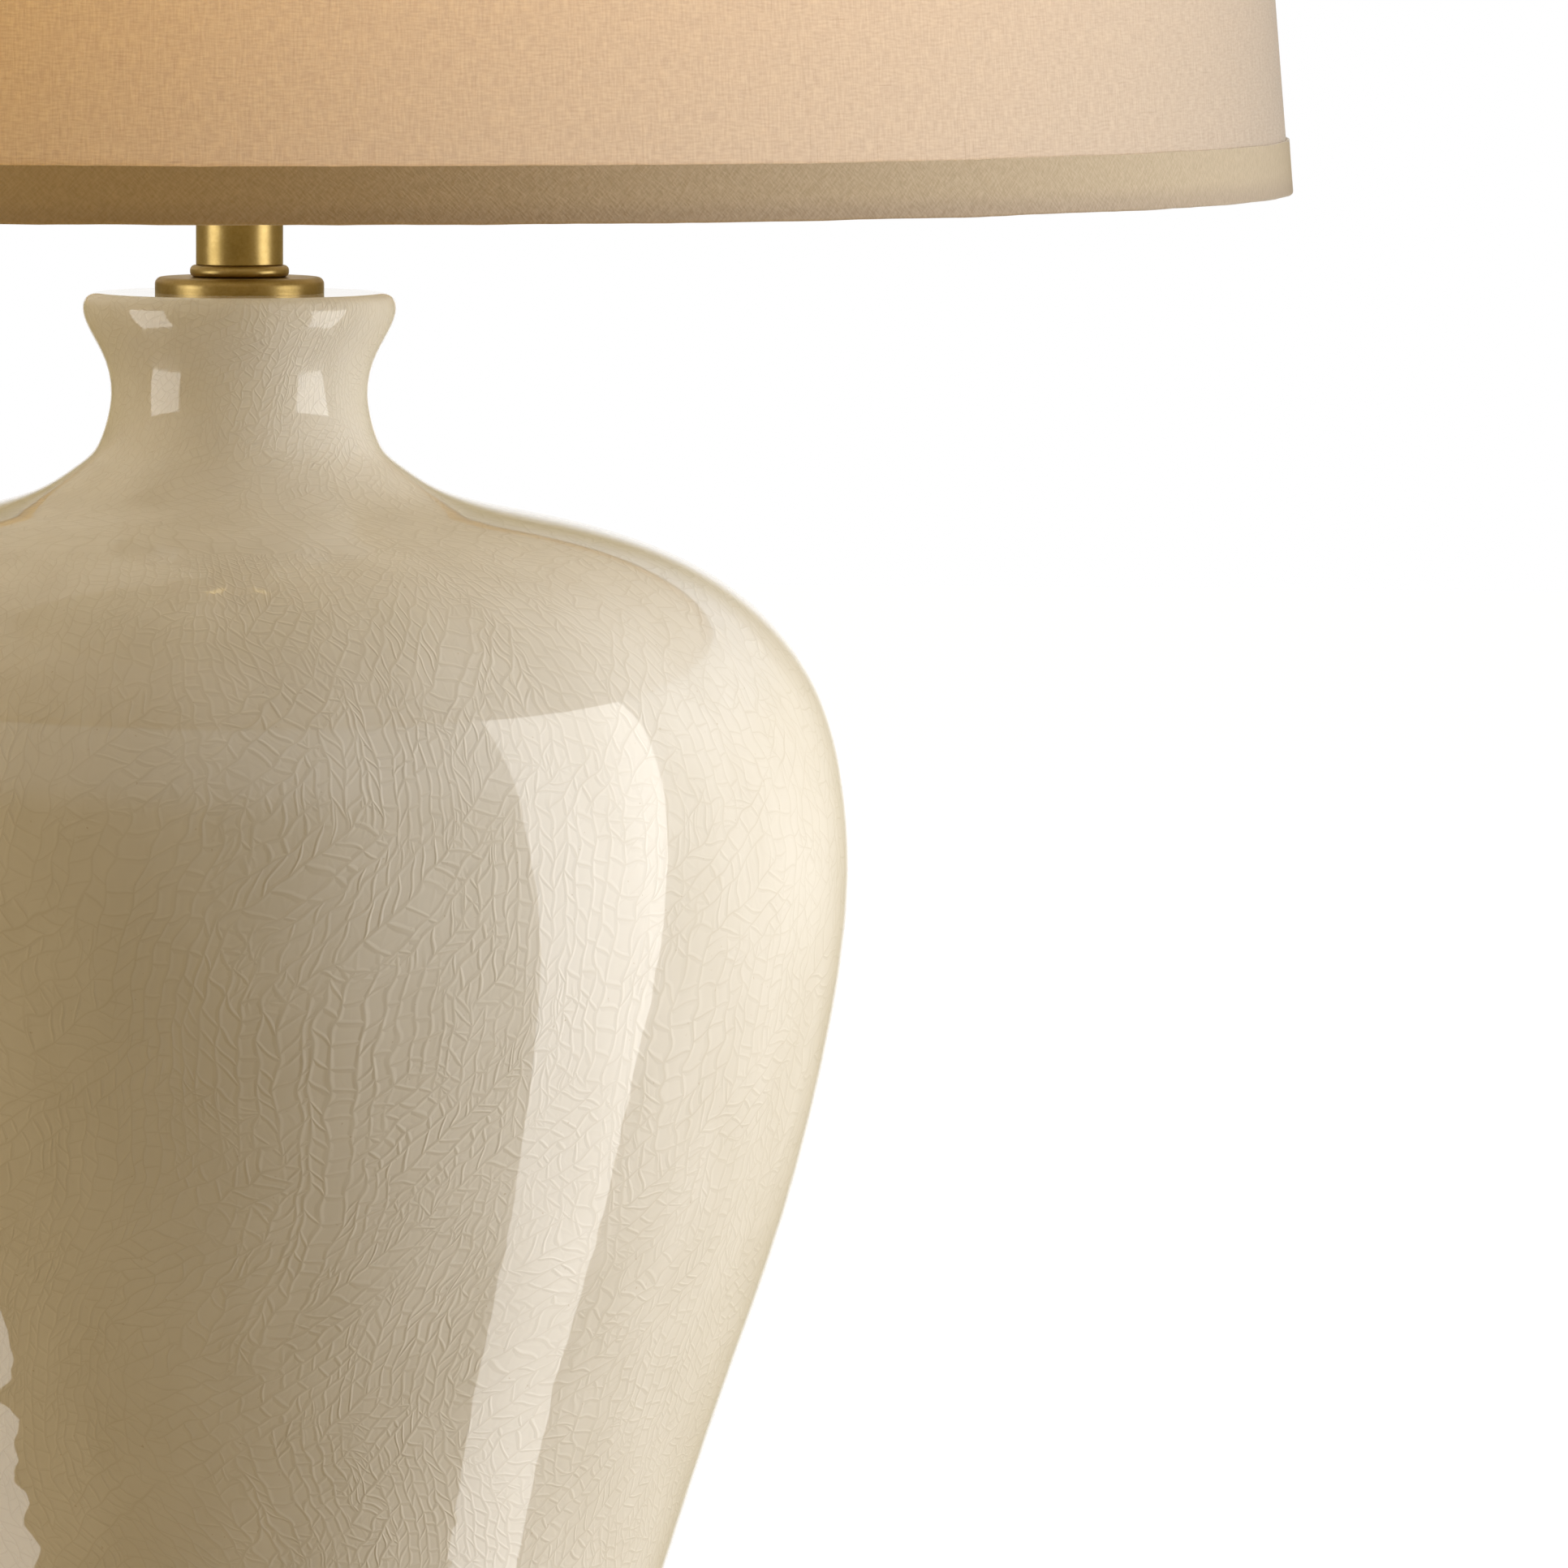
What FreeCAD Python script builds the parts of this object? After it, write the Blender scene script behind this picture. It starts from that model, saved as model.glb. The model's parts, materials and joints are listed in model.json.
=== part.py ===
import FreeCAD, Part
import math
import os
import Sketcher
from collections import namedtuple
from FreeCAD import Placement, Rotation, Vector

# A ceramic table lamp with a drum shade, in millimetres.
# The lamp stands on the origin, its axis is Z, and its front faces -Y.

SIZES = {
    # Felt pad and hollow round base
    "felt_thickness": 1.6,
    "felt_inset": 2.5,
    "base_radius": 76.0,
    "base_height": 24.4,
    "base_rim_height": 13.0,
    "base_rim_rounding": 2.5,
    "base_cove_radius": 71.6,
    "base_cove_height": 16.2,
    "base_waist_radius": 70.2,
    "base_top_radius": 72.0,
    "base_top_edge": 3.4,
    "base_top_rounding": 1.2,
    "base_wall": 3.0,
    "base_top_thickness": 3.5,
    # Weight, washer and nut under the base's top
    "weight_clearance": 1.0,
    "weight_hole_radius": 20.0,
    "weight_thickness": 9.0,
    "weight_rounding": 1.5,
    "washer_radius": 16.0,
    "washer_thickness": 1.6,
    "nut_flats": 14.3,
    "nut_height": 5.0,
    "locknut_height": 3.2,
    # Inlet bushing in the back of the base
    "inlet_height": 7.6,
    "inlet_bore_radius": 3.2,
    "inlet_sleeve_radius": 4.4,
    "inlet_flange_radius": 5.8,
    "inlet_flange_thickness": 1.8,
    "inlet_flange_rounding": 0.8,
    "inlet_tail": 2.0,
    "inlet_clearance": 0.15,
    # Hollow threaded rod up the middle
    "rod_radius": 4.85,
    "rod_bore_radius": 3.1,
    "rod_tail": 1.5,
    "rod_tip": 0.8,
    "rod_clearance": 0.25,
    "thread_clearance": 0.05,
    # Ceramic body
    "ceramic_height": 439.0,
    "ceramic_wall": 6.0,
    "ceramic_floor": 7.0,
    "ceramic_floor_hole_radius": 8.0,
    "ceramic_top_thickness": 6.0,
    "ceramic_top_hole_radius": 11.0,
    "foot_radius": 68.0,
    "foot_edge": 2.0,
    "waist_radius": 64.0,
    "waist_height": 30.0,
    "belly_radius": 133.35,
    "belly_height": 314.5,
    "throat_radius": 28.1,
    "throat_drop": 22.5,
    "lip_radius": 34.2,
    "lip_top_radius": 30.6,
    "cavity_rounding": 3.0,
    # Rubber grommet, cap, ring, neck tube and collar
    "grommet_clearance": 0.3,
    "grommet_depth": 5.0,
    "grommet_flange_radius": 15.0,
    "grommet_flange_thickness": 1.5,
    "cap_radius": 18.45,
    "cap_thickness": 3.4,
    "cap_rounding": 1.5,
    "cap_hollow_depth": 1.8,
    "cap_hollow_clearance": 0.5,
    "ring_radius": 10.8,
    "ring_height": 2.6,
    "ring_rounding": 1.15,
    "neck_radius": 9.5,
    "neck_wall": 0.9,
    "neck_height": 53.0,
    "neck_edge_rounding": 0.3,
    "collar_radius": 11.0,
    "collar_height": 2.5,
    "collar_rounding": 0.8,
    # Saddle that the harp stands in
    "strip_thickness": 1.6,
    "strip_width": 12.7,
    "strip_bend_radius": 4.0,
    "saddle_arm_height": 12.0,
    "post_offset": 24.0,
    "post_radius": 3.2,
    "post_height": 6.0,
    "stub_height": 8.0,
    # Harp
    "harp_height": 254.0,
    "harp_wire_radius": 2.3,
    "harp_half_width": 57.0,
    "harp_top_half_width": 30.0,
    "harp_lower_bend": 55.0,
    "harp_side_bend": 80.0,
    "harp_upper_bend": 120.0,
    "harp_top_bend": 22.0,
    "ferrule_radius": 4.0,
    "ferrule_length": 18.0,
    "ferrule_rounding": 0.8,
    "clamp_half_length": 7.0,
    "clamp_wall": 1.0,
    "stud_flange_radius": 8.0,
    "stud_flange_thickness": 2.2,
    "stud_radius": 3.1,
    "stud_height": 13.0,
    "stud_edge": 0.5,
    # Lamp socket
    "socket_wall": 0.8,
    "socket_radius": 17.0,
    "socket_hub_radius": 7.5,
    "socket_hub_height": 5.0,
    "socket_floor": 3.0,
    "socket_cup_bottom": 12.0,
    "socket_cup_height": 21.0,
    "socket_cup_rounding": 4.0,
    "shell_clearance": 0.1,
    "shell_wall": 0.7,
    "shell_start": 14.4,
    "shell_height": 46.0,
    "shell_bead": 0.7,
    "shell_bead_height": 1.8,
    "shell_bead_rounding": 0.5,
    "liner_wall": 0.7,
    "liner_margin": 2.0,
    "core_clearance": 0.3,
    "core_start": 17.7,
    "core_height": 17.0,
    "core_flat_offset": 9.6,
    "screw_shell_wall": 0.5,
    "screw_shell_height": 25.0,
    "screw_shell_lip_radius": 11.5,
    "contact_thickness": 0.6,
    "contact_width": 6.0,
    "contact_back": 8.0,
    "contact_front": 6.0,
    "contact_rise": 3.6,
    "terminal_shank_radius": 1.7,
    "terminal_shank_length": 6.0,
    "terminal_head_radius": 3.0,
    "terminal_head_thickness": 1.4,
    "terminal_height": 7.5,
    "set_screw_radius": 1.2,
    "set_screw_length": 3.8,
    "set_screw_head_radius": 2.0,
    "set_screw_head_thickness": 1.2,
    "screw_slot_width": 0.7,
    "screw_slot_depth": 0.6,
    # Rotary switch
    "switch_shaft_radius": 2.0,
    "switch_shaft_start": 5.0,
    "switch_shaft_length": 21.0,
    "switch_hole_clearance": 0.5,
    "knob_radius": 6.2,
    "knob_length": 12.0,
    "knob_gap": 2.5,
    "knob_rounding": 1.2,
    "knob_flute_radius": 0.9,
    # Wires held inside
    "lead_radius": 1.1,
    "lead_half_spacing": 1.25,
    "lead_bend": 6.4,
    "lead_upper_bend": 5.0,
    "lead_gap": 0.2,
    "lead_end_gap": 1.0,
    # Bulb
    "bulb_gap": 0.2,
    "bulb_contact_radius": 4.8,
    "bulb_contact_height": 1.0,
    "insulator_bottom_radius": 5.6,
    "insulator_top_radius": 11.4,
    "insulator_height": 2.8,
    "bulb_cap_wall": 0.4,
    "bulb_cap_height": 21.9,
    "bulb_collar_radius": 12.9,
    "bulb_collar_height": 4.5,
    "thread_crest_radius": 13.1,
    "thread_depth": 0.9,
    "thread_pitch": 3.63,
    "thread_start": 5.2,
    "thread_gap": 0.35,
    "glass_wall": 0.8,
    "glass_neck_radius": 12.1,
    "glass_radius": 30.0,
    "glass_start": 21.5,
    "glass_neck_end": 27.0,
    "glass_belly_height": 78.0,
    "bulb_height": 109.0,
    "stem_flare_radius": 10.9,
    "stem_flare_height": 9.0,
    "stem_radius": 3.0,
    "stem_height": 40.0,
    "stem_flare_rounding": 9.0,
    "stem_rounding": 1.2,
    "support_radius": 0.5,
    "support_foot_offset": 1.6,
    "support_reach": 12.0,
    "support_rise": 16.0,
    "support_gap": 0.3,
    "filament_radius": 0.7,
    "filament_rise": 7.0,
    # Shade
    "shade_bottom_radius": 228.6,
    "shade_top_radius": 203.2,
    "shade_height": 304.8,
    "shade_drop": 12.7,
    "fabric_thickness": 0.6,
    "liner_gap": 0.1,
    "backing_thickness": 0.5,
    "seam_width": 12.0,
    "seam_thickness": 0.4,
    "frame_wire_radius": 1.2,
    "frame_gap": 0.15,
    "trim_thickness": 0.6,
    "trim_height": 11.0,
    "trim_inner_height": 8.0,
    "trim_rounding": 0.55,
    "trim_notch_clearance": 0.6,
    "hub_radius": 12.7,
    "hub_thickness": 1.6,
    "hub_hole_clearance": 0.4,
    "arm_radius": 1.6,
    "arm_sink": 0.6,
    "arm_inner_end": 9.6,
    "arm_knee": 14.0,
    "arm_end_gap": 2.2,
    "arm_bend": 9.0,
    # Finial
    "finial_base_radius": 8.0,
    "finial_base_height": 2.8,
    "finial_neck_radius": 4.8,
    "finial_neck_height": 8.5,
    "finial_ball_radius": 9.6,
    "finial_ball_height": 20.0,
    "finial_tip_radius": 3.0,
    "finial_tip_height": 34.0,
    "finial_bead_radius": 4.4,
    "finial_bead_height": 37.0,
    "finial_height": 43.0,
    "finial_rounding": 1.0,
    "finial_bore_end_gap": 1.0,
    # Overrun of every cutting tool past the face that it cuts
    "overrun": 1.0,
}

FULL_TURN = 360.0
QUARTER_TURN = 90.0
# How a sketch numbers the points of an edge
START, END, CENTRE = range(1, 4)
SIDES = {"left": -1, "right": 1}
HEXAGON_SIDES = 6
CORNER_PER_FLATS = 1 / math.sqrt(3)
THREAD_TURNS = 4
KNOB_FLUTES = 14
SPIDER_ARMS = 3

# Ceramic profile between its named stations, as shares of the way from one to the next: (radius, height).
WAIST_TO_BELLY_SHARES = [(0.043, 0.098), (0.145, 0.211), (0.284, 0.337), (0.422, 0.451), (0.618, 0.596),
                         (0.790, 0.722), (0.921, 0.848)]
BELLY_TO_THROAT_SHARES = [(0.010, 0.155), (0.063, 0.367), (0.168, 0.525), (0.300, 0.626), (0.457, 0.696),
                          (0.632, 0.743), (0.770, 0.773), (0.868, 0.809), (0.927, 0.848), (0.967, 0.884),
                          (0.986, 0.927)]
THROAT_TO_LIP_SHARES = [(0.197, 0.333), (0.853, 0.689), (1.000, 0.844), (0.902, 0.947)]
FOOT_TO_WAIST_SHARES = [(0.62, 0.30), (0.97, 0.78)]

# Harp bends, as shares of the height from its feet to its top wire.
HARP_LEG_SHARE = 0.178
HARP_SIDE_SHARE = 0.429
HARP_UPPER_SHARE = 0.663

# Bulb glass between its neck and its widest ring, then from there to its top: (radius, height).
NECK_TO_GLOBE_SHARES = [(0.12, 0.14), (0.47, 0.41), (0.84, 0.69)]
GLOBE_TO_TOP_SHARES = [(0.12, 0.48), (0.46, 0.85)]

# Finial ball below and above its widest ring: (radius, height).
NECK_TO_BALL_SHARES = [(0.56, 0.24)]
BALL_TO_TIP_SHARES = [(0.14, 0.36), (0.62, 0.78)]

# Where the switch shaft lies in the core, where the contact tongue bends and where the leads fan out.
SWITCH_HEIGHT_SHARE = 0.44
TONGUE_BEND_SHARE = 0.40
LEAD_FAN_SHARE = 0.40
BASE_KNEE_SHARE = 0.5


class Size:
    """A number with the sheet formula that it comes from."""

    def __init__(self, number, formula):
        self.number = number
        self.formula = formula

    def __add__(self, other):
        return combine(self, "+", other, self.number + number_of(other))

    def __sub__(self, other):
        return combine(self, "-", other, self.number - number_of(other))

    def __mul__(self, other):
        return combine(self, "*", other, self.number * number_of(other))

    def __truediv__(self, other):
        return combine(self, "/", other, self.number / number_of(other))

    def __radd__(self, other):
        return combine(other, "+", self, number_of(other) + self.number)

    def __rsub__(self, other):
        return combine(other, "-", self, number_of(other) - self.number)

    def __rmul__(self, other):
        return combine(other, "*", self, number_of(other) * self.number)

    def __rtruediv__(self, other):
        return combine(other, "/", self, number_of(other) / self.number)

    def __neg__(self):
        return 0 - self


def number_of(value):
    return value.number if isinstance(value, Size) else float(value)


def formula_of(value):
    return value.formula if isinstance(value, Size) else repr(value)


def combine(left, sign, right, number):
    return Size(number, "(%s %s %s)" % (formula_of(left), sign, formula_of(right)))


class Sheet:
    """The driving dimensions, read from the document's sheet by name."""

    def __init__(self, cells):
        self.cells = cells

    def __getattr__(self, name):
        return Size(float(getattr(self.cells, name)), "sizes." + name)


def make_sheet():
    cells = doc.addObject("Spreadsheet::Sheet", "sizes")
    for row, (name, value) in enumerate(SIZES.items(), 1):
        cells.set("A%d" % row, name)
        cells.set("B%d" % row, str(value))
        cells.setAlias("B%d" % row, name)
    doc.recompute()
    return Sheet(cells)


# A curve in an outline: points that it passes, and its directions at both ends where they matter.
# A backward one is shaped from its far end, so that it follows its neighbour that runs the other way.
Curve = namedtuple("Curve", "points leaving arriving backward", defaults=(None, None, False))


def between(start, end, shares):
    """Points that divide the way between two stations by shares of its width and height."""
    return [(start[0] + (end[0] - start[0]) * wide, start[1] + (end[1] - start[1]) * high)
            for wide, high in shares]


def flat_vector(point):
    return Vector(number_of(point[0]), number_of(point[1]), 0)


def bind(thing, prop, value):
    """Tie one property to the sheet's formula, or set a plain number."""
    if isinstance(value, Size):
        thing.setExpression(prop, value.formula)
    elif value:
        thing.setExpression(prop, repr(float(value)))


def place(piece, across=0, back=0, up=0, rotation=Rotation()):
    """Put a piece at its place in the lamp."""
    piece.Placement = Placement(Vector(number_of(across), number_of(back), number_of(up)), rotation)
    bind(piece, "Placement.Base.x", across)
    bind(piece, "Placement.Base.y", back)
    bind(piece, "Placement.Base.z", up)
    return piece


def interpolated(points, leaving=None, arriving=None):
    """A smooth curve through points, with its end directions where given."""
    curve = Part.BSplineCurve()
    vectors = [flat_vector(point) for point in points]
    if leaving or arriving:
        first = Vector(*(leaving or direction(points[0], points[1])), 0)
        last = Vector(*(arriving or direction(points[-2], points[-1])), 0)
        # The curve's parameter is nearly its length, so directions of unit length are taken as they are
        curve.interpolate(Points=vectors, InitialTangent=first, FinalTangent=last, Scale=False)
    else:
        curve.interpolate(Points=vectors)
    return curve


def direction(start, end):
    step = flat_vector(end) - flat_vector(start)
    step.normalize()
    return (step.x, step.y)


def fix_point(sketch, edge, end, point):
    """Hold one end of an edge at its place, measured from the sketch's origin."""
    for axis, kind, value in ((-2, "DistanceX", point[0]), (-1, "DistanceY", point[1])):
        if number_of(value) == 0:
            sketch.addConstraint(Sketcher.Constraint("PointOnObject", edge, end, axis))
            continue
        held = sketch.addConstraint(Sketcher.Constraint(kind, -1, 1, edge, end, number_of(value)))
        bind(sketch, "Constraints[%d]" % held, value)


def draw_outline(sketch, items, closed=True):
    """Join corners by lines, or by a Curve that stands between two of them. A corner may end in a rounding."""
    corners = []
    curves = {}
    for item in items:
        if isinstance(item, Curve):
            curves[len(corners) - 1] = item
        else:
            corners.append(item)
    edges = len(corners) if closed else len(corners) - 1
    for edge in range(edges):
        here, there = corners[edge], corners[(edge + 1) % len(corners)]
        if edge in curves:
            curve = curves[edge]
            stops = [here, *curve.points, there]
            line = interpolated(stops[::-1] if curve.backward else stops, curve.leaving, curve.arriving)
            if curve.backward:
                line.reverse()
            sketch.addGeometry(line)
            sketch.addConstraint(Sketcher.Constraint("Block", edge))
        else:
            sketch.addGeometry(Part.LineSegment(flat_vector(here), flat_vector(there)))
    for edge in range(edges if closed else edges - 1):
        sketch.addConstraint(Sketcher.Constraint("Coincident", edge, END, (edge + 1) % edges, START))
    for index, corner in enumerate(corners):
        if index in curves or (index - 1) % len(corners) in curves:
            continue
        if index < edges:
            fix_point(sketch, index, START, corner)
        else:
            fix_point(sketch, index - 1, END, corner)
    for index, corner in enumerate(corners):
        if len(corner) > 2:
            rounding = corner[2]
            sketch.fillet(index, START, number_of(rounding), True, True)
            arc = sketch.GeometryCount - 2
            held = sketch.addConstraint(Sketcher.Constraint("Radius", arc, number_of(rounding)))
            bind(sketch, "Constraints[%d]" % held, rounding)


def new_sketch(body, name, plane="XZ_Plane"):
    planes = {feature.Role: feature for feature in body.Origin.OriginFeatures}
    sketch = body.newObject("Sketcher::SketchObject", body.Name + "_" + name)
    sketch.AttachmentSupport = [(planes[plane], "")]
    sketch.MapMode = "FlatFace"
    return sketch


def outlined(body, name, outline, plane="XZ_Plane", closed=True):
    sketch = new_sketch(body, name, plane)
    draw_outline(sketch, outline, closed)
    return sketch


def revolve(body, name, outline, angle=FULL_TURN):
    """Turn an outline of (radius, height) corners about the body's Z axis."""
    turned = body.newObject("PartDesign::Revolution", body.Name + "_" + name)
    turned.Profile = outlined(body, name + "_outline", outline)
    turned.ReferenceAxis = (turned.Profile[0], ["V_Axis"])
    turned.Angle = number_of(angle)
    if isinstance(angle, Size):
        turned.Midplane = True
        bind(turned, "Angle", angle)
    return turned


def lathe(name, outline, angle=FULL_TURN, **where):
    """A turned piece."""
    body = doc.addObject("PartDesign::Body", name)
    revolve(body, "turned", outline, angle)
    return place(body, **where)


def slab(name, outline, width, **where):
    """A piece of constant width across Y, from an outline of (x, z) corners."""
    body = doc.addObject("PartDesign::Body", name)
    pad = body.newObject("PartDesign::Pad", name + "_pad")
    pad.Profile = outlined(body, "outline", outline)
    pad.Midplane = True
    bind(pad, "Length", width)
    return place(body, **where)


def cylinder(name, radius, height, **where):
    piece = doc.addObject("Part::Cylinder", name)
    bind(piece, "Radius", radius)
    bind(piece, "Height", height)
    return place(piece, **where)


def box(name, length, width, height, **where):
    piece = doc.addObject("Part::Box", name)
    bind(piece, "Length", length)
    bind(piece, "Width", width)
    bind(piece, "Height", height)
    return place(piece, **where)


def cut(name, base, tool, **where):
    piece = doc.addObject("Part::Cut", name)
    piece.Base = base
    piece.Tool = tool
    return place(piece, **where)


def fuse(name, pieces):
    piece = doc.addObject("Part::MultiFuse", name)
    piece.Shapes = pieces
    return piece


def group(name, pieces):
    """Equal pieces that share one node, each a solid of its own."""
    piece = doc.addObject("Part::Compound", name)
    piece.Links = pieces
    return piece


def tube_shape(route, radius):
    """A round wire along straight runs joined by tangent arcs. Each inner stop of the route has a bend radius."""
    stops = [Vector(*(number_of(value) for value in stop[:3])) for stop in route]
    edges = []
    leave = stops[0]
    for before, corner, after, stop in zip(stops, stops[1:], stops[2:], route[1:]):
        back_way = (before - corner).normalize()
        on_way = (after - corner).normalize()
        opening = back_way.getAngle(on_way)
        bend = number_of(stop[3])
        reach = bend / math.tan(opening / 2)
        start = corner + back_way * reach
        end = corner + on_way * reach
        inward = (back_way + on_way).normalize()
        middle = corner + inward * (bend / math.sin(opening / 2) - bend)
        edges.append(Part.LineSegment(leave, start).toShape())
        edges.append(Part.Arc(start, middle, end).toShape())
        leave = end
    edges.append(Part.LineSegment(leave, stops[-1]).toShape())
    path = Part.Wire(edges)
    ring = Part.Wire(Part.makeCircle(number_of(radius), stops[0], stops[1] - stops[0]))
    return path.makePipeShell([ring], True, False)


def wire_section(body, name, plane, across, up, radius):
    """A sketch with the round section of a wire."""
    section = new_sketch(body, name, plane)
    circle = section.addGeometry(Part.Circle(flat_vector((across, up)), Vector(0, 0, 1), number_of(radius)))
    fix_point(section, circle, CENTRE, (across, up))
    held = section.addConstraint(Sketcher.Constraint("Radius", circle, number_of(radius)))
    bind(section, "Constraints[%d]" % held, radius)
    return section


def sweep(body, name, section, path):
    """A wire of one section along a path."""
    pipe = body.newObject("PartDesign::AdditivePipe", body.Name + "_" + name)
    pipe.Profile = section
    pipe.Spine = path
    return pipe


def formed(name, shape, **where):
    """A piece whose shape is made here from the sheet's numbers."""
    piece = doc.addObject("Part::Feature", name)
    piece.Shape = shape
    return place(piece, **where)


def ring_rows(root, crest, start):
    """Corners of the rings of a rolled thread, seen from the side."""
    rows = []
    for turn in range(THREAD_TURNS):
        foot = start + size.thread_pitch * turn
        rows.append((root, foot))
        rows.append((crest, foot + size.thread_pitch / 2))
    rows.append((root, start + size.thread_pitch * THREAD_TURNS))
    return rows


def thinned(points, wall):
    """The same corners one wall nearer the axis, in the opposite order."""
    return [(radius - wall, height) for radius, height in reversed(points)]


doc = FreeCAD.newDocument("table_lamp")
size = make_sheet()

# Rotations that turn a piece's own Z axis
backward = Rotation(Vector(1, 0, 0), -QUARTER_TURN)
forward = Rotation(Vector(1, 0, 0), QUARTER_TURN)
sideways = Rotation(Vector(0, 1, 0), QUARTER_TURN)
leftward = Rotation(Vector(0, 1, 0), -QUARTER_TURN)
to_the_back = Rotation(Vector(0, 0, 1), QUARTER_TURN)

# Radii and heights that several pieces share
rod_hole = size.rod_radius + size.rod_clearance
base_bottom = size.felt_thickness
base_ceiling = base_bottom + size.base_height - size.base_top_thickness
washer_bottom = base_ceiling - size.washer_thickness
nut_bottom = washer_bottom - size.nut_height
rod_bottom = nut_bottom - size.rod_tail
ceramic_bottom = base_bottom + size.base_height
ceramic_top = ceramic_bottom + size.ceramic_height
cap_top = ceramic_top + size.cap_thickness
neck_bottom = cap_top + size.ring_height
saddle_bottom = neck_bottom + size.neck_height + size.collar_height
locknut_bottom = saddle_bottom + size.strip_thickness
socket_bottom = locknut_bottom + size.locknut_height
rod_top = socket_bottom + size.socket_floor + size.rod_tip
shell_bottom = socket_bottom + size.shell_start
core_bottom = socket_bottom + size.core_start
core_top = core_bottom + size.core_height
core_radius = (size.socket_radius - size.socket_wall - size.shell_clearance * 2 - size.shell_wall
               - size.liner_wall - size.core_clearance)
switch_height = core_bottom + size.core_height * SWITCH_HEIGHT_SHARE
terminal_height = core_bottom + size.terminal_height
terminal_grip = size.terminal_shank_length - size.lead_radius * 2 - size.lead_gap * 2
bulb_bottom = core_top + size.contact_rise + size.bulb_gap
stem_top = bulb_bottom + size.glass_start + size.stem_height
harp_foot = saddle_bottom + size.saddle_arm_height + size.post_height + size.stub_height
shoulder_height = saddle_bottom + size.harp_height
harp_wire_top = shoulder_height - size.stud_flange_thickness - size.clamp_wall - size.harp_wire_radius
shade_bottom = shoulder_height + size.shade_drop - size.shade_height
frame_inset = (size.fabric_thickness + size.liner_gap + size.backing_thickness + size.frame_gap
               + size.frame_wire_radius)
frame_lift = size.frame_wire_radius + size.frame_gap


# Felt pad glued under the base
def felt_pad():
    radius = size.base_radius - size.felt_inset
    return lathe("felt_pad", [(0, 0), (radius, 0), (radius, size.felt_thickness), (0, size.felt_thickness)])


# Spun brass base, hollow below, with a hole for the inlet bushing at the back
def base_plate():
    wall = size.base_wall
    edge_bottom = size.base_height - size.base_top_edge
    ceiling = size.base_height - size.base_top_thickness
    knee = size.base_rim_height - wall * BASE_KNEE_SHARE
    turned = lathe("base_plate_turned", [
        (size.base_radius - wall, 0), (size.base_radius, 0),
        (size.base_radius, size.base_rim_height, size.base_rim_rounding),
        (size.base_cove_radius, size.base_cove_height), (size.base_waist_radius, edge_bottom),
        (size.base_top_radius, edge_bottom), (size.base_top_radius, size.base_height, size.base_top_rounding),
        (rod_hole, size.base_height), (rod_hole, ceiling), (size.base_waist_radius - wall, ceiling),
        (size.base_cove_radius - wall, size.base_cove_height - wall * BASE_KNEE_SHARE),
        (size.base_radius - wall, knee)])
    drill = cylinder("base_plate_inlet", size.inlet_sleeve_radius + size.inlet_clearance, size.base_radius,
                     back=size.base_radius / 2, up=size.inlet_height - size.felt_thickness,
                     rotation=backward)
    return cut("base_plate", turned, drill, up=base_bottom)


# Cast iron ring that steadies the lamp
def base_weight():
    radius = size.base_waist_radius - size.base_wall - size.weight_clearance
    thick = size.weight_thickness
    return lathe("base_weight", [
        (size.weight_hole_radius, 0), (radius, 0, size.weight_rounding), (radius, thick),
        (size.weight_hole_radius, thick)], up=base_ceiling - thick)


# Washer and hexagon nut that pull the rod down against the base
def rod_washer():
    return lathe("rod_washer", [
        (rod_hole, 0), (size.washer_radius, 0), (size.washer_radius, size.washer_thickness),
        (rod_hole, size.washer_thickness)], up=washer_bottom)


def hexagon_nut(name, height, up):
    blank = doc.addObject("Part::Prism", name + "_blank")
    blank.Polygon = HEXAGON_SIDES
    bind(blank, "Circumradius", size.nut_flats * CORNER_PER_FLATS)
    bind(blank, "Height", height)
    bore = cylinder(name + "_bore", size.rod_radius + size.thread_clearance, height + size.overrun * 2,
                    up=-size.overrun)
    return cut(name, blank, bore, up=up)


# Bushing that leads the supply wires out of the back of the base
def cord_bushing():
    flange = size.base_wall + size.inlet_tail
    tip = flange + size.inlet_flange_thickness
    return lathe("cord_bushing", [
        (size.inlet_bore_radius, 0), (size.inlet_sleeve_radius, 0), (size.inlet_sleeve_radius, flange),
        (size.inlet_flange_radius, flange), (size.inlet_flange_radius, tip, size.inlet_flange_rounding),
        (size.inlet_bore_radius, tip)], back=size.base_radius - flange, up=size.inlet_height, rotation=backward)


# Hollow rod that clamps base, ceramic body, neck and socket together
def threaded_rod():
    height = rod_top - rod_bottom
    return lathe("threaded_rod", [
        (size.rod_bore_radius, 0), (size.rod_radius, 0), (size.rod_radius, height),
        (size.rod_bore_radius, height)], up=rod_bottom)


def ceramic_stations():
    """Outer profile of the ceramic body from its foot to its lip."""
    throat = (size.throat_radius, size.ceramic_height - size.throat_drop)
    foot = (size.foot_radius, size.foot_edge)
    waist = (size.waist_radius, size.waist_height)
    belly = (size.belly_radius, size.belly_height)
    lip = (size.lip_radius, size.ceramic_height)
    lower = [foot, *between(foot, waist, FOOT_TO_WAIST_SHARES), waist]
    body = [*between(waist, belly, WAIST_TO_BELLY_SHARES), belly]
    shoulder = [*between(belly, throat, BELLY_TO_THROAT_SHARES), throat]
    mouth = between(throat, lip, THROAT_TO_LIP_SHARES)
    return lower, body, shoulder, mouth


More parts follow.
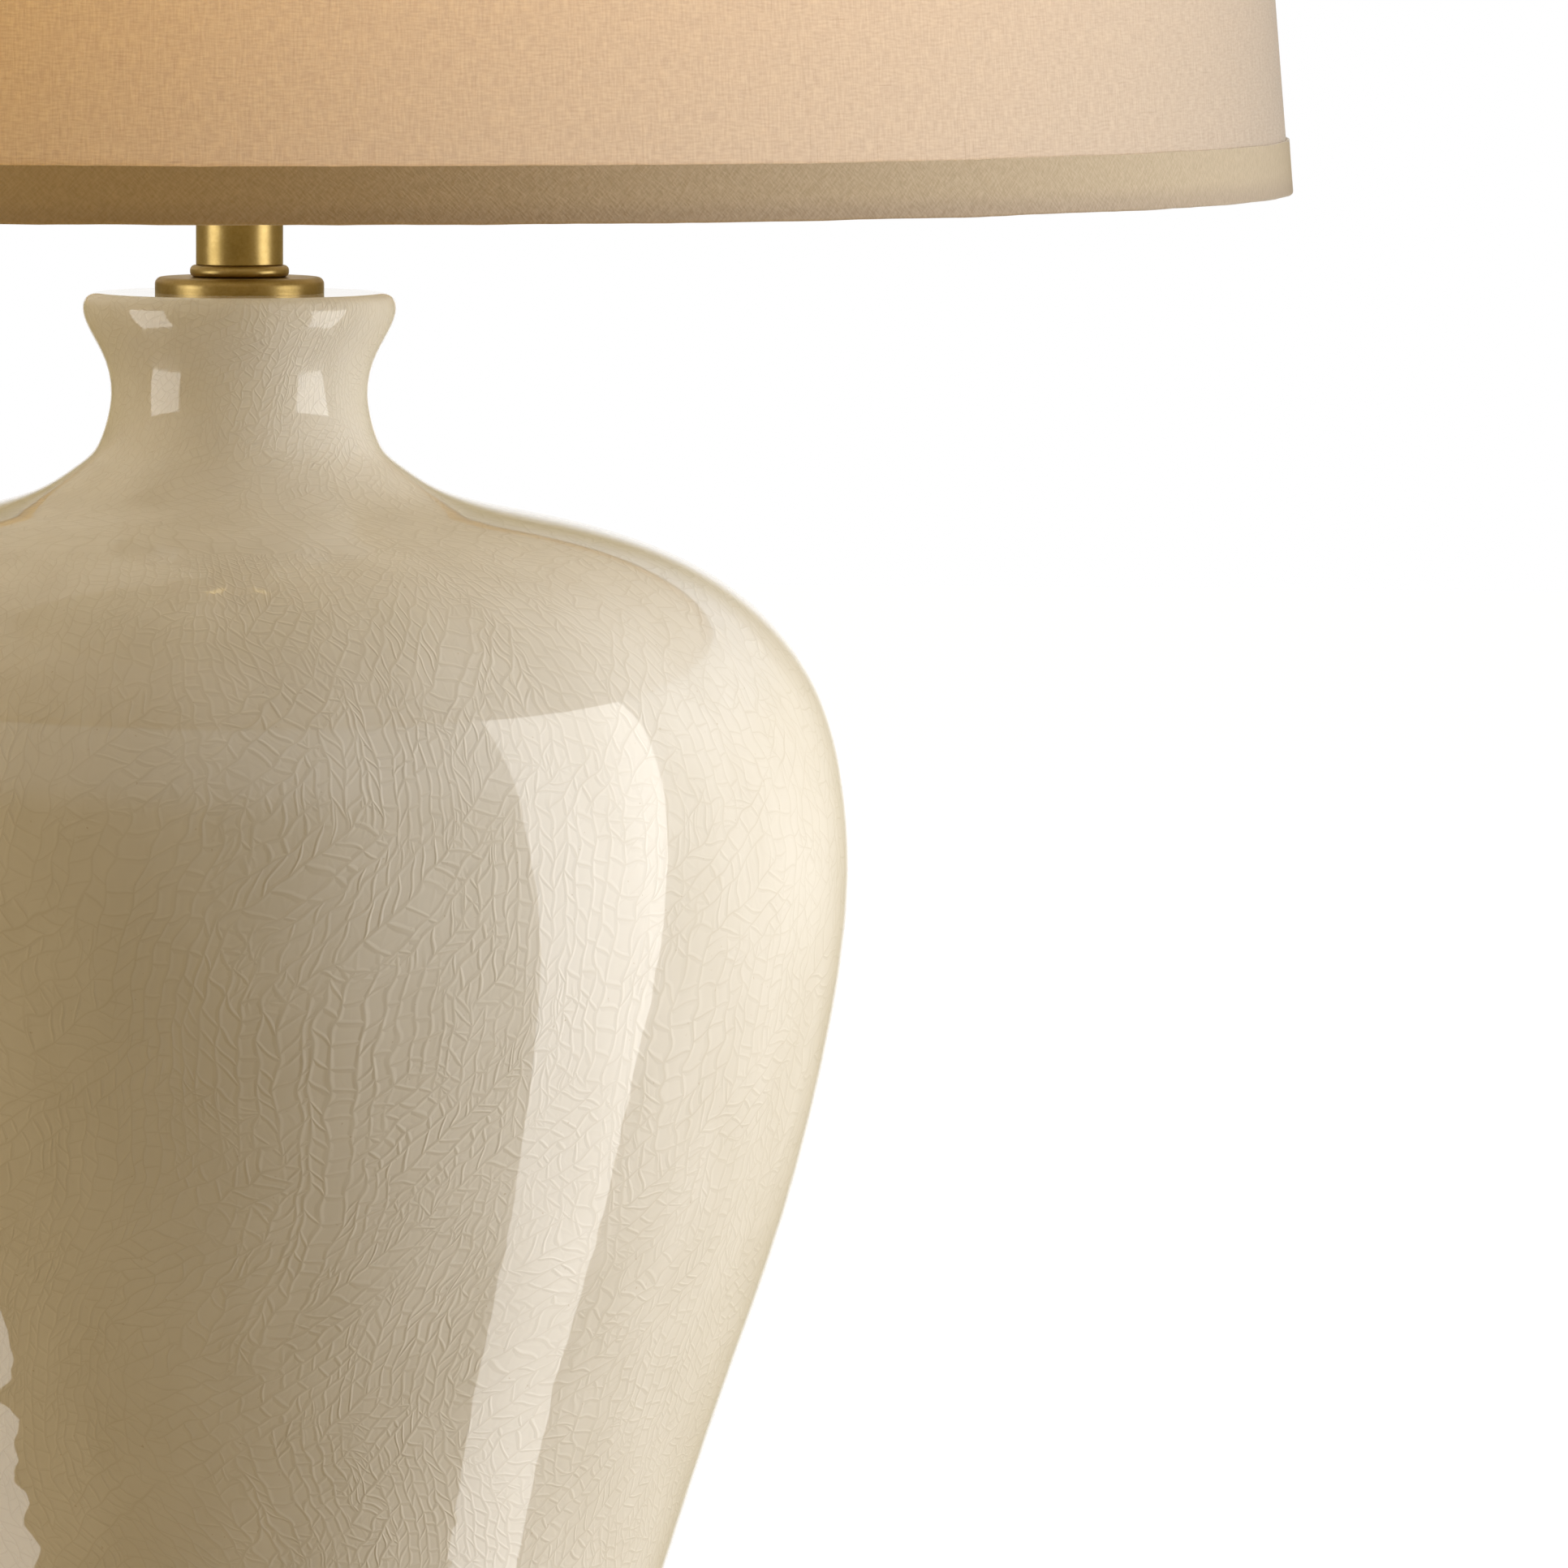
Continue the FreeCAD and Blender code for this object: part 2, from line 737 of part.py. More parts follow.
# Glazed ceramic body, hollow, closed by its own floor and top
def ceramic_body():
    lower, body, shoulder, mouth = ceramic_stations()
    top = (size.lip_top_radius, size.ceramic_height)
    outer = interpolated([*lower, *body, *shoulder, *mouth, top], arriving=(-1, 0))
    inner = []
    for station in [lower[-1], *body, *shoulder]:
        along = outer.tangent(outer.parameter(flat_vector(station)))[0]
        inward = Vector(-along.y, along.x, 0) * size.ceramic_wall.number
        point = flat_vector(station) + inward
        inner.append((point.x, point.y))
    ceiling = size.ceramic_height - size.ceramic_top_thickness
    hole = size.ceramic_top_hole_radius
    return lathe("ceramic_body", [
        (size.ceramic_floor_hole_radius, 0), (size.foot_radius - size.foot_edge, 0), lower[0],
        Curve([*lower[1:], *body, *shoulder, *mouth], arriving=(-1, 0)), top,
        (hole, size.ceramic_height), (hole, ceiling),
        (size.throat_radius - size.ceramic_wall, ceiling, size.cavity_rounding),
        inner[-1], Curve(inner[-2:0:-1]), inner[0],
        (size.waist_radius - size.ceramic_wall, size.ceramic_floor, size.cavity_rounding),
        (size.ceramic_floor_hole_radius, size.ceramic_floor)], up=ceramic_bottom)


# Rubber grommet that centres the rod in the ceramic's top hole
def centering_grommet():
    plug = size.ceramic_top_hole_radius - size.grommet_clearance
    depth = size.grommet_depth
    top = depth + size.grommet_flange_thickness
    return lathe("centering_grommet", [
        (rod_hole, 0), (plug, 0), (plug, depth), (size.grommet_flange_radius, depth),
        (size.grommet_flange_radius, top), (rod_hole, top)], up=ceramic_top - depth)


# Brass cap on the ceramic lip, hollowed for the grommet's flange
def vase_cap():
    hollow = size.grommet_flange_radius + size.cap_hollow_clearance
    return lathe("vase_cap", [
        (hollow, 0), (size.cap_radius, 0), (size.cap_radius, size.cap_thickness, size.cap_rounding),
        (rod_hole, size.cap_thickness), (rod_hole, size.cap_hollow_depth), (hollow, size.cap_hollow_depth)],
        up=ceramic_top)


# Round-edged ring, straight neck tube and collar, stacked on the cap
def seating_ring():
    return lathe("seating_ring", [
        (rod_hole, 0), (size.ring_radius, 0, size.ring_rounding),
        (size.ring_radius, size.ring_height, size.ring_rounding), (rod_hole, size.ring_height)], up=cap_top)


def neck_tube():
    inner = size.neck_radius - size.neck_wall
    return lathe("neck_tube", [
        (inner, 0), (size.neck_radius, 0, size.neck_edge_rounding),
        (size.neck_radius, size.neck_height, size.neck_edge_rounding), (inner, size.neck_height)], up=neck_bottom)


def neck_collar():
    return lathe("neck_collar", [
        (rod_hole, 0), (size.collar_radius, 0, size.collar_rounding),
        (size.collar_radius, size.collar_height, size.collar_rounding), (rod_hole, size.collar_height)],
        up=neck_bottom + size.neck_height)


# Steel strip bent to a U, with a post on each arm for the harp
def harp_saddle():
    outer = size.post_offset + size.strip_thickness / 2
    inner = size.post_offset - size.strip_thickness / 2
    floor = size.strip_thickness
    arm = size.saddle_arm_height
    bend = size.strip_bend_radius
    strip = slab("harp_saddle_strip", [
        (-outer, 0, bend), (outer, 0, bend), (outer, arm), (inner, arm), (inner, floor, bend - floor),
        (-inner, floor, bend - floor), (-inner, arm), (-outer, arm)], size.strip_width)
    pieces = [strip]
    for side, sign in SIDES.items():
        stub = size.post_height + size.stub_height
        pieces.append(lathe("harp_saddle_post_" + side, [
            (0, 0), (size.post_radius, 0), (size.post_radius, size.post_height),
            (size.harp_wire_radius, size.post_height), (size.harp_wire_radius, stub), (0, stub)],
            across=size.post_offset * sign, up=arm))
    drill = cylinder("harp_saddle_hole", rod_hole, floor + size.overrun * 2, up=-size.overrun)
    return cut("harp_saddle", fuse("harp_saddle_fused", pieces), drill, up=saddle_bottom)


# Bent wire that carries the shade, standing on the saddle's posts
def harp_wire():
    height = harp_wire_top - harp_foot
    side = size.post_offset
    half = [(side, 0), (side, height * HARP_LEG_SHARE, size.harp_lower_bend),
            (size.harp_half_width, height * HARP_SIDE_SHARE, size.harp_side_bend),
            (size.harp_half_width, height * HARP_UPPER_SHARE, size.harp_upper_bend),
            (size.harp_top_half_width, height, size.harp_top_bend)]
    other_half = [(-corner[0], *corner[1:]) for corner in reversed(half)]
    body = doc.addObject("PartDesign::Body", "harp_wire")
    path = outlined(body, "path", half + other_half, closed=False)
    section = wire_section(body, "section", "XY_Plane", side, 0, size.harp_wire_radius)
    sweep(body, "pipe", section, path)
    return place(body, up=harp_foot)


# Block round the harp's top wire, with the flange and stud that the shade and finial go on
def harp_stud():
    half = size.clamp_half_length
    thick = size.harp_wire_radius + size.clamp_wall
    block = box("harp_stud_block", half * 2, thick * 2, thick * 2, across=-half, back=-thick)
    flange = thick * 2 + size.stud_flange_thickness
    tip = flange + size.stud_height
    turned = lathe("harp_stud_turned", [
        (0, thick * 2), (size.stud_flange_radius, thick * 2), (size.stud_flange_radius, flange),
        (size.stud_radius, flange), (size.stud_radius, tip, size.stud_edge), (0, tip)])
    hole = cylinder("harp_stud_hole", size.harp_wire_radius + size.thread_clearance, half * 2 + size.overrun * 2,
                    across=-half - size.overrun, up=thick, rotation=sideways)
    return cut("harp_stud", fuse("harp_stud_fused", [block, turned]), hole, up=harp_wire_top - thick)


# Sleeves that lock the harp's feet to the saddle's posts
def harp_ferrule(side, sign):
    bore = size.harp_wire_radius + size.thread_clearance
    return lathe("harp_ferrule_" + side, [
        (bore, 0), (size.ferrule_radius, 0, size.ferrule_rounding),
        (size.ferrule_radius, size.ferrule_length, size.ferrule_rounding), (bore, size.ferrule_length)],
        across=size.post_offset * sign, up=saddle_bottom + size.saddle_arm_height + size.post_height)


# Brass cup that the rod screws into, with a hole for the set screw
def socket_cap():
    wall = size.socket_wall
    cup = size.socket_cup_bottom
    bend = size.socket_cup_rounding
    turned = lathe("socket_cap_turned", [
        (size.rod_radius + size.thread_clearance, 0), (size.socket_hub_radius, 0),
        (size.socket_hub_radius, size.socket_hub_height), (size.socket_radius, cup, bend),
        (size.socket_radius, size.socket_cup_height), (size.socket_radius - wall, size.socket_cup_height),
        (size.socket_radius - wall, cup + wall / 2, bend - wall),
        (size.socket_hub_radius - wall, size.socket_hub_height + wall / 2),
        (size.socket_hub_radius - wall, size.socket_floor),
        (size.rod_radius + size.thread_clearance, size.socket_floor)])
    drill = cylinder("socket_cap_hole", size.set_screw_radius + size.thread_clearance, size.socket_hub_radius,
                     back=size.rod_radius, up=size.socket_floor / 2, rotation=backward)
    return cut("socket_cap", turned, drill, up=socket_bottom)


def slotted_screw(name, radius, length, head_radius, head_thickness, **where):
    """A screw from its tip up to its slotted head."""
    turned = lathe(name + "_turned", [
        (0, 0), (radius, 0), (radius, length), (head_radius, length), (head_radius, length + head_thickness),
        (0, length + head_thickness)])
    slot = box(name + "_slot", head_radius * 2, size.screw_slot_width, size.screw_slot_depth,
               across=-head_radius, back=-size.screw_slot_width / 2,
               up=length + head_thickness - size.screw_slot_depth)
    return cut(name, turned, slot, **where)


# Set screw that stops the socket from turning on the rod
def socket_set_screw():
    return slotted_screw("socket_set_screw", size.set_screw_radius, size.set_screw_length,
                         size.set_screw_head_radius, size.set_screw_head_thickness,
                         back=size.rod_radius + size.thread_clearance, up=socket_bottom + size.socket_floor / 2,
                         rotation=backward)


def switch_hole(name, radius):
    """A tool that opens a sleeve's front for the switch shaft."""
    return cylinder(name, radius, size.socket_radius * 2, up=switch_height, rotation=forward)


# Brass socket shell with a rolled upper edge
def socket_shell():
    outer = size.socket_radius - size.socket_wall - size.shell_clearance
    inner = outer - size.shell_wall
    bead = outer + size.shell_bead
    height = size.shell_height
    turned = lathe("socket_shell_turned", [
        (inner, 0), (outer, 0), (outer, height - size.shell_bead_height),
        (bead, height - size.shell_bead_height, size.shell_bead_rounding),
        (bead, height, size.shell_bead_rounding), (inner, height)], up=shell_bottom)
    return cut("socket_shell", turned, switch_hole(
        "socket_shell_hole", size.switch_shaft_radius + size.switch_hole_clearance))


# Insulating sleeve between shell and core
def socket_liner():
    outer = size.socket_radius - size.socket_wall - size.shell_clearance * 2 - size.shell_wall
    inner = outer - size.liner_wall
    height = size.shell_height - size.liner_margin * 2
    turned = lathe("socket_liner_turned", [(inner, 0), (outer, 0), (outer, height), (inner, height)],
                   up=shell_bottom + size.liner_margin)
    return cut("socket_liner", turned, switch_hole(
        "socket_liner_hole", size.switch_shaft_radius + size.switch_hole_clearance))


# Porcelain core with flats for its terminals and a bore for the switch shaft
def socket_core():
    radius = core_radius
    body = cylinder("socket_core_blank", radius, size.core_height, up=core_bottom)
    tools = [cylinder("socket_core_bore", size.switch_shaft_radius + size.thread_clearance, radius * 2,
                      back=-size.switch_shaft_start, up=switch_height, rotation=forward)]
    for side, sign in SIDES.items():
        start = size.core_flat_offset if sign > 0 else -size.core_flat_offset - radius
        tools.append(box("socket_core_flat_" + side, radius, radius * 2, size.core_height + size.overrun * 2,
                         across=start, back=-radius, up=core_bottom - size.overrun))
        tools.append(cylinder("socket_core_tapping_" + side, size.terminal_shank_radius + size.thread_clearance,
                              size.terminal_shank_length + size.overrun, up=terminal_height,
                              across=(size.core_flat_offset - terminal_grip) * sign,
                              rotation=sideways if sign > 0 else leftward))
    return cut("socket_core", body, fuse("socket_core_tools", tools))


# Thin threaded shell that the bulb screws into
def screw_shell():
    wall = size.screw_shell_wall
    crest = size.thread_crest_radius + size.thread_gap + wall
    root = crest - size.thread_depth
    start = size.contact_rise + size.bulb_gap + size.thread_start
    outer = [(crest, 0), (crest, start - size.thread_pitch / 2), *ring_rows(root, crest, start),
             (crest, size.screw_shell_height)]
    inner = thinned(outer[1:], wall) + [(crest - wall, wall)]
    lip = size.screw_shell_lip_radius
    return lathe("screw_shell", [(lip, 0), *outer, *inner, (lip, wall)], up=core_top)


# Springy tongue that touches the bulb's lower contact
def centre_contact():
    thick = size.contact_thickness
    rise = size.contact_rise
    bend = size.contact_back * TONGUE_BEND_SHARE
    return slab("centre_contact", [
        (-size.contact_back, 0), (-bend, 0), (bend, rise - thick), (size.contact_front, rise - thick),
        (size.contact_front, rise), (bend - thick, rise), (-bend - thick, thick), (-size.contact_back, thick)],
        size.contact_width, up=core_top)


# Two terminal screws, one on each flat of the core
def terminal_screws():
    screws = []
    for side, sign in SIDES.items():
        screws.append(slotted_screw(
            "terminal_screw_" + side, size.terminal_shank_radius, size.terminal_shank_length,
            size.terminal_head_radius, size.terminal_head_thickness,
            across=(size.core_flat_offset - terminal_grip) * sign, up=terminal_height,
            rotation=sideways if sign > 0 else leftward))
    return group("terminal_screws", screws)


# Switch shaft out of the core's front, and the fluted knob on its end
def switch_shaft():
    return cylinder("switch_shaft", size.switch_shaft_radius, size.switch_shaft_length,
                    back=-size.switch_shaft_start, up=switch_height, rotation=forward)


def switch_knob():
    start = size.socket_radius + size.knob_gap
    bore = size.switch_shaft_radius + size.thread_clearance
    depth = size.switch_shaft_start + size.switch_shaft_length - start + size.thread_clearance
    turned = lathe("switch_knob_turned", [
        (bore, 0), (size.knob_radius, 0, size.knob_rounding),
        (size.knob_radius, size.knob_length, size.knob_rounding), (0, size.knob_length), (0, depth),
        (bore, depth)])
    flutes = []
    for flute in range(KNOB_FLUTES):
        angle = math.radians(FULL_TURN * flute / KNOB_FLUTES)
        flutes.append(cylinder("switch_knob_flute_%d" % flute, size.knob_flute_radius,
                               size.knob_length + size.overrun * 2,
                               across=size.knob_radius * math.cos(angle),
                               back=size.knob_radius * math.sin(angle), up=-size.overrun))
    return cut("switch_knob", turned, fuse("switch_knob_flutes", flutes), back=-start, up=switch_height,
               rotation=forward)


# Two insulated leads from the terminals down the rod, ending just inside the inlet bushing
def lead_wires():
    end = size.base_radius - size.base_wall - size.inlet_tail - size.lead_end_gap
    fan_bottom = rod_top + size.rod_tip
    shank_bottom = terminal_height - size.terminal_shank_radius - size.lead_gap
    fan_top = shank_bottom - (shank_bottom - fan_bottom) * LEAD_FAN_SHARE
    reach = size.core_flat_offset + size.lead_radius + size.lead_gap
    leads = []
    for side, sign in SIDES.items():
        near = size.lead_half_spacing * sign
        route = [(near, end, size.inlet_height), (near, 0, size.inlet_height, size.lead_bend),
                 (near, 0, fan_bottom, size.lead_upper_bend),
                 (reach * sign, 0, fan_top, size.lead_upper_bend),
                 (reach * sign, 0, shank_bottom)]
        leads.append(formed("lead_wire_" + side, tube_shape(route, size.lead_radius)))
    return group("lead_wires", leads)


# Bulb contact, insulator and threaded cap
def bulb_contact():
    return lathe("bulb_contact", [
        (0, 0), (size.bulb_contact_radius, 0), (size.bulb_contact_radius, size.bulb_contact_height),
        (0, size.bulb_contact_height)], up=bulb_bottom)


def bulb_insulator():
    return lathe("bulb_insulator", [
        (0, 0), (size.insulator_bottom_radius, 0), (size.insulator_top_radius, size.insulator_height),
        (0, size.insulator_height)], up=bulb_bottom + size.bulb_contact_height)


def bulb_cap():
    wall = size.bulb_cap_wall
    bottom = size.bulb_contact_height + size.insulator_height
    crest = size.thread_crest_radius
    top = size.bulb_cap_height
    outer = [(size.insulator_top_radius, 0),
             *ring_rows(crest - size.thread_depth, crest, size.thread_start - bottom),
             (size.bulb_collar_radius, top - size.bulb_collar_height), (size.bulb_collar_radius, top)]
    return lathe("bulb_cap", [*outer, *thinned(outer, wall)], up=bulb_bottom + bottom)


def glass_profile(inset):
    """One face of the bulb's glass, inset by the given wall, from its lower edge to its top."""
    neck = size.glass_neck_radius - inset
    knee = (neck, size.glass_neck_end - size.glass_start)
    widest = (size.glass_radius - inset, size.glass_belly_height - size.glass_start)
    top = (0, size.bulb_height - size.glass_start - inset)
    points = [*between(knee, widest, NECK_TO_GLOBE_SHARES), widest, *between(widest, top, GLOBE_TO_TOP_SHARES)]
    return neck, knee, points, top


# Frosted glass globe
def bulb_glass():
    outer_neck, outer_knee, outer_points, outer_top = glass_profile(0)
    inner_neck, inner_knee, inner_points, inner_top = glass_profile(size.glass_wall)
    return lathe("bulb_glass", [
        (inner_neck, 0), (outer_neck, 0), outer_knee,
        Curve(outer_points, leaving=(0, 1), arriving=(-1, 0)), outer_top, inner_top,
        Curve(inner_points[::-1], leaving=(0, 1), arriving=(-1, 0), backward=True), inner_knee],
        up=bulb_bottom + size.glass_start)


# Glass stem inside the bulb, with two support wires and the filament
def bulb_stem():
    return lathe("bulb_stem", [
        (0, 0), (size.stem_flare_radius, 0), (size.stem_radius, size.stem_flare_height, size.stem_flare_rounding),
        (size.stem_radius, size.stem_height, size.stem_rounding), (0, size.stem_height)],
        up=bulb_bottom + size.glass_start)


def bulb_supports():
    supports = []
    for side, sign in SIDES.items():
        foot = Vector(size.support_foot_offset.number * sign, 0, 0)
        reach = Vector((size.support_reach - size.support_foot_offset).number * sign, 0,
                       size.support_rise.number)
        shape = Part.makeCylinder(size.support_radius.number, reach.Length, foot, reach)
        supports.append(formed("bulb_support_" + side, shape, up=stem_top + size.support_gap))
    return group("bulb_supports", supports)


def bulb_filament():
    reach = size.support_reach
    foot = size.support_rise + size.support_gap * 2 + size.support_radius
    route = [(-reach, 0, foot), (0, 0, foot + size.filament_rise, reach), (reach, 0, foot)]
    return formed("bulb_filament", tube_shape(route, size.filament_radius), up=stem_top)


def shade_radius(height):
    """Outer radius of the fabric at a height above its lower edge."""
    return size.shade_bottom_radius - (size.shade_bottom_radius - size.shade_top_radius) * (
        height / size.shade_height)


def shade_layer(outside, thickness, low, high):
    """Corners of a layer that follows the shade's slope at a distance outside the fabric's face."""
    return [(shade_radius(low) + outside - thickness, low), (shade_radius(low) + outside, low),
            (shade_radius(high) + outside, high), (shade_radius(high) + outside - thickness, high)]


# Linen drum, the stiff backing inside it, and the lapped seam at the back
def shade_fabric():
    return lathe("shade_fabric", shade_layer(0, size.fabric_thickness, 0, size.shade_height), up=shade_bottom)


def shade_liner():
    inside = -size.fabric_thickness - size.liner_gap
    layer = shade_layer(inside, size.backing_thickness, 0, size.shade_height)
    return lathe("shade_liner", layer, up=shade_bottom)


def shade_seam():
    outside = size.liner_gap + size.seam_thickness
    low = size.trim_height + size.liner_gap
    layer = shade_layer(outside, size.seam_thickness, low, size.shade_height - low)
    angle = size.seam_width / size.shade_bottom_radius * math.degrees(1)
    return lathe("shade_seam", layer, angle=angle, up=shade_bottom, rotation=to_the_back)


def trim_outline(level):
    """Folded band over an edge of the shade. level() turns a distance from the edge into a height."""
    gap = size.liner_gap
    thick = size.trim_thickness
    outside = gap + thick
    inside = -frame_inset - size.frame_wire_radius - size.frame_gap
    over = -gap - thick

    def corner(beyond, distance, *rounding):
        return (shade_radius(level(distance)) + beyond, level(distance), *rounding)

    return [corner(outside, size.trim_height), corner(outside, over, size.trim_rounding),
            corner(inside - thick, over, size.trim_rounding), corner(inside - thick, size.trim_inner_height),
            corner(inside, size.trim_inner_height), corner(inside, -gap), corner(gap, -gap),
            corner(gap, size.trim_height)]


# Cloth bands folded over both edges; the upper one is notched where the spider's arms pass
def shade_trim_bottom():
    return lathe("shade_trim_bottom", trim_outline(lambda distance: distance), up=shade_bottom)


def shade_trim_top():
    turned = lathe("shade_trim_top_turned", trim_outline(lambda distance: size.shade_height - distance))
    half = size.arm_radius + size.trim_notch_clearance
    depth = size.trim_inner_height * 2
    notches = []
    for arm in range(SPIDER_ARMS):
        turn = QUARTER_TURN + FULL_TURN * arm / SPIDER_ARMS
        notches.append(box("shade_trim_top_notch_%d" % arm, size.shade_top_radius - frame_inset, half * 2, depth,
                           across=half * math.sin(math.radians(turn)),
                           back=-half * math.cos(math.radians(turn)),
                           up=size.shade_height - depth, rotation=Rotation(Vector(0, 0, 1), turn)))
    return cut("shade_trim_top", turned, fuse("shade_trim_top_notches", notches), up=shade_bottom)


# Wire rings that stiffen both edges inside their trim
def shade_ring(name, height):
    ring = doc.addObject("Part::Torus", name)
    bind(ring, "Radius1", shade_radius(height) - frame_inset)
    bind(ring, "Radius2", size.frame_wire_radius)
    return place(ring, up=shade_bottom + height)


# Hub on the harp's flange with three wire arms, each bent up to the upper ring
def shade_spider():
    body = doc.addObject("PartDesign::Body", "shade_spider")
    hole = size.stud_radius + size.hub_hole_clearance
    revolve(body, "hub", [(hole, 0), (size.hub_radius, 0), (size.hub_radius, size.hub_thickness),
                          (hole, size.hub_thickness)])
    ring_height = size.shade_drop - frame_lift
    ring_radius = shade_radius(size.shade_height - frame_lift) - frame_inset
    arm_height = size.hub_thickness + size.arm_radius - size.arm_sink
    path = outlined(body, "arm_path", [
        (size.arm_inner_end, arm_height), (ring_radius - size.arm_knee, arm_height, size.arm_bend),
        (ring_radius - size.arm_end_gap, ring_height)], closed=False)
    section = wire_section(body, "arm_section", "YZ_Plane", 0, arm_height, size.arm_radius)
    section.setExpression("AttachmentOffset.Base.z", size.arm_inner_end.formula)
    arm = sweep(body, "arm", section, path)
    doc.recompute()
    arms = body.newObject("PartDesign::PolarPattern", "shade_spider_arms")
    arms.Originals = [arm]
    arms.Axis = (path, ["V_Axis"])
    arms.Angle = FULL_TURN
    arms.Occurrences = SPIDER_ARMS
    body.Tip = arms
    return place(body, up=shoulder_height, rotation=to_the_back)


# Turned finial, bored from below for the stud
def finial():
    bore = size.stud_radius + size.thread_clearance
    depth = size.stud_height - size.hub_thickness + size.finial_bore_end_gap
    neck = (size.finial_neck_radius, size.finial_neck_height)
    ball = (size.finial_ball_radius, size.finial_ball_height)
    tip = (size.finial_tip_radius, size.finial_tip_height)
    return lathe("finial", [
        (bore, 0), (size.finial_base_radius, 0, size.finial_rounding),
        (size.finial_base_radius, size.finial_base_height, size.finial_rounding),
        (size.finial_neck_radius, size.finial_base_height + size.finial_rounding * 2), neck,
        Curve([*between(neck, ball, NECK_TO_BALL_SHARES), ball, *between(ball, tip, BALL_TO_TIP_SHARES)]), tip,
        (size.finial_bead_radius, size.finial_bead_height, size.finial_rounding), (0, size.finial_height),
        (0, depth), (bore, depth)], up=shoulder_height + size.hub_thickness)


pieces = [
    felt_pad(), base_plate(), base_weight(), cord_bushing(), rod_washer(),
    hexagon_nut("rod_nut", size.nut_height, nut_bottom), threaded_rod(), ceramic_body(), centering_grommet(),
    vase_cap(), seating_ring(), neck_tube(), neck_collar(), harp_saddle(),
    hexagon_nut("saddle_locknut", size.locknut_height, locknut_bottom), socket_cap(), socket_set_screw(),
    socket_shell(), socket_liner(), socket_core(), screw_shell(), centre_contact(), terminal_screws(),
    switch_shaft(), switch_knob(), lead_wires(), bulb_contact(), bulb_insulator(), bulb_cap(), bulb_glass(),
    bulb_stem(), bulb_supports(), bulb_filament(), harp_wire(), harp_stud(),
    *(harp_ferrule(side, sign) for side, sign in SIDES.items()),
    shade_fabric(), shade_liner(), shade_seam(), shade_trim_top(), shade_trim_bottom(),
    shade_ring("shade_ring_top", size.shade_height - frame_lift), shade_ring("shade_ring_bottom", frame_lift),
    shade_spider(), finial(),
]
doc.recompute()

for thing in doc.Objects:
    if "Invalid" in thing.State or "Error" in thing.State:
        raise RuntimeError("%s did not build: %s" % (thing.Label, thing.State))
for piece in pieces:
    if piece.Shape.isNull() or not piece.Shape.isValid() or not piece.Shape.Solids:
        raise RuntimeError("%s has no sound solid" % piece.Label)

os.makedirs("parts", exist_ok=True)
for piece in pieces:
    piece.Shape.exportStep("parts/%s.step" % piece.Label)
    print("%-20s %d solid, %.1f mm3" % (piece.Label, len(piece.Shape.Solids), piece.Shape.Volume))
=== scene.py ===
"""Looks, light and camera for a table lamp: a glazed vase, a brass neck and a linen drum shade.

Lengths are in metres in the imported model's frame: the lamp's axis is x = y = 0, it stands on z = 0, and the
photograph was taken from the -y side.
"""

import json
import math

import bmesh
import bpy
from mathutils import Matrix, Vector, noise


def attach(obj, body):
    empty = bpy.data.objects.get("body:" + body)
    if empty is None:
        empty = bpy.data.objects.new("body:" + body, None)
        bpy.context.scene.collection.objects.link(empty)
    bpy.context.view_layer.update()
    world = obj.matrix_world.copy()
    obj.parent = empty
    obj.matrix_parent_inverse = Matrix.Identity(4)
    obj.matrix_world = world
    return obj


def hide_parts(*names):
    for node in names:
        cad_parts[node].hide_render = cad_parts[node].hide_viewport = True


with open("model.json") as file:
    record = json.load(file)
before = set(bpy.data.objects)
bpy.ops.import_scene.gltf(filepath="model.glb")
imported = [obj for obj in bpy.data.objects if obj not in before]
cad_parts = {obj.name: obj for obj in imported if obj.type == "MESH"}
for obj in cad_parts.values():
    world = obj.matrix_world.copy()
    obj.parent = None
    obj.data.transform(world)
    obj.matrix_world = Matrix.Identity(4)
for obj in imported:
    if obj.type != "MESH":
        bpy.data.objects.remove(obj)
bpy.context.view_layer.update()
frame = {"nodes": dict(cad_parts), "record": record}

MM = 0.001
FULL_TURN = 2 * math.pi


def rgb(red, green, blue):
    """A colour as a shader socket takes it."""
    return (red, green, blue, 1.0)


WHITE = rgb(1.0, 1.0, 1.0)

# The camera that took the photograph
CAMERA_AT = Vector((0.0, -2.5, 0.5684))
CAMERA_LOOKS_AT = Vector((0.1192, 0.0, 0.3574))
CAMERA_ROLL = math.radians(0.205)
CAMERA_LENS_MM = 263.0
CAMERA_SENSOR_MM = 36.0
CAMERA_SEES_TO = 100.0

# The diffusers beside the lamp. GLOW is how strongly one shines, and FACES is how far round from the camera's
# side it stands.
SOFTBOX_GLOW = 4.9
KEY_GLOW = 5.6
SOFTBOX_TINT = (1.0, 0.985, 0.96)
SHADE_KEY_GLOW = 6.7
SHADE_KEY_FACES = math.radians(49.0)
FILL_GLOW = 1.9
FILL_TINT = (1.0, 0.78, 0.46)
SOFTBOX_DISTANCE = 1.2
SOFTBOX_FACES = math.radians(73.0)

# Corners of each diffuser: along its sheet, away from the camera, and up
SOFTBOX_RIGHT = ((-0.30, 1.98), (-0.43, 1.0), (-0.44, 0.5), (-0.36, -0.12), (-0.26, -0.75), (0.24, -0.75),
                 (0.17, -0.25), (0.19, 0.28), (0.28, 0.75), (0.51, 1.60))
SOFTBOX_LEFT = ((-0.37, 1.85), (-0.37, -0.75), (0.30, -0.75), (0.30, 1.85))
KEY = ((-0.17, 1.9), (-0.17, -0.75), (0.48, -0.75), (0.48, 1.9))
FILL = ((-0.20, 1.85), (-0.20, -0.75), (0.30, -0.75), (0.30, 1.85))

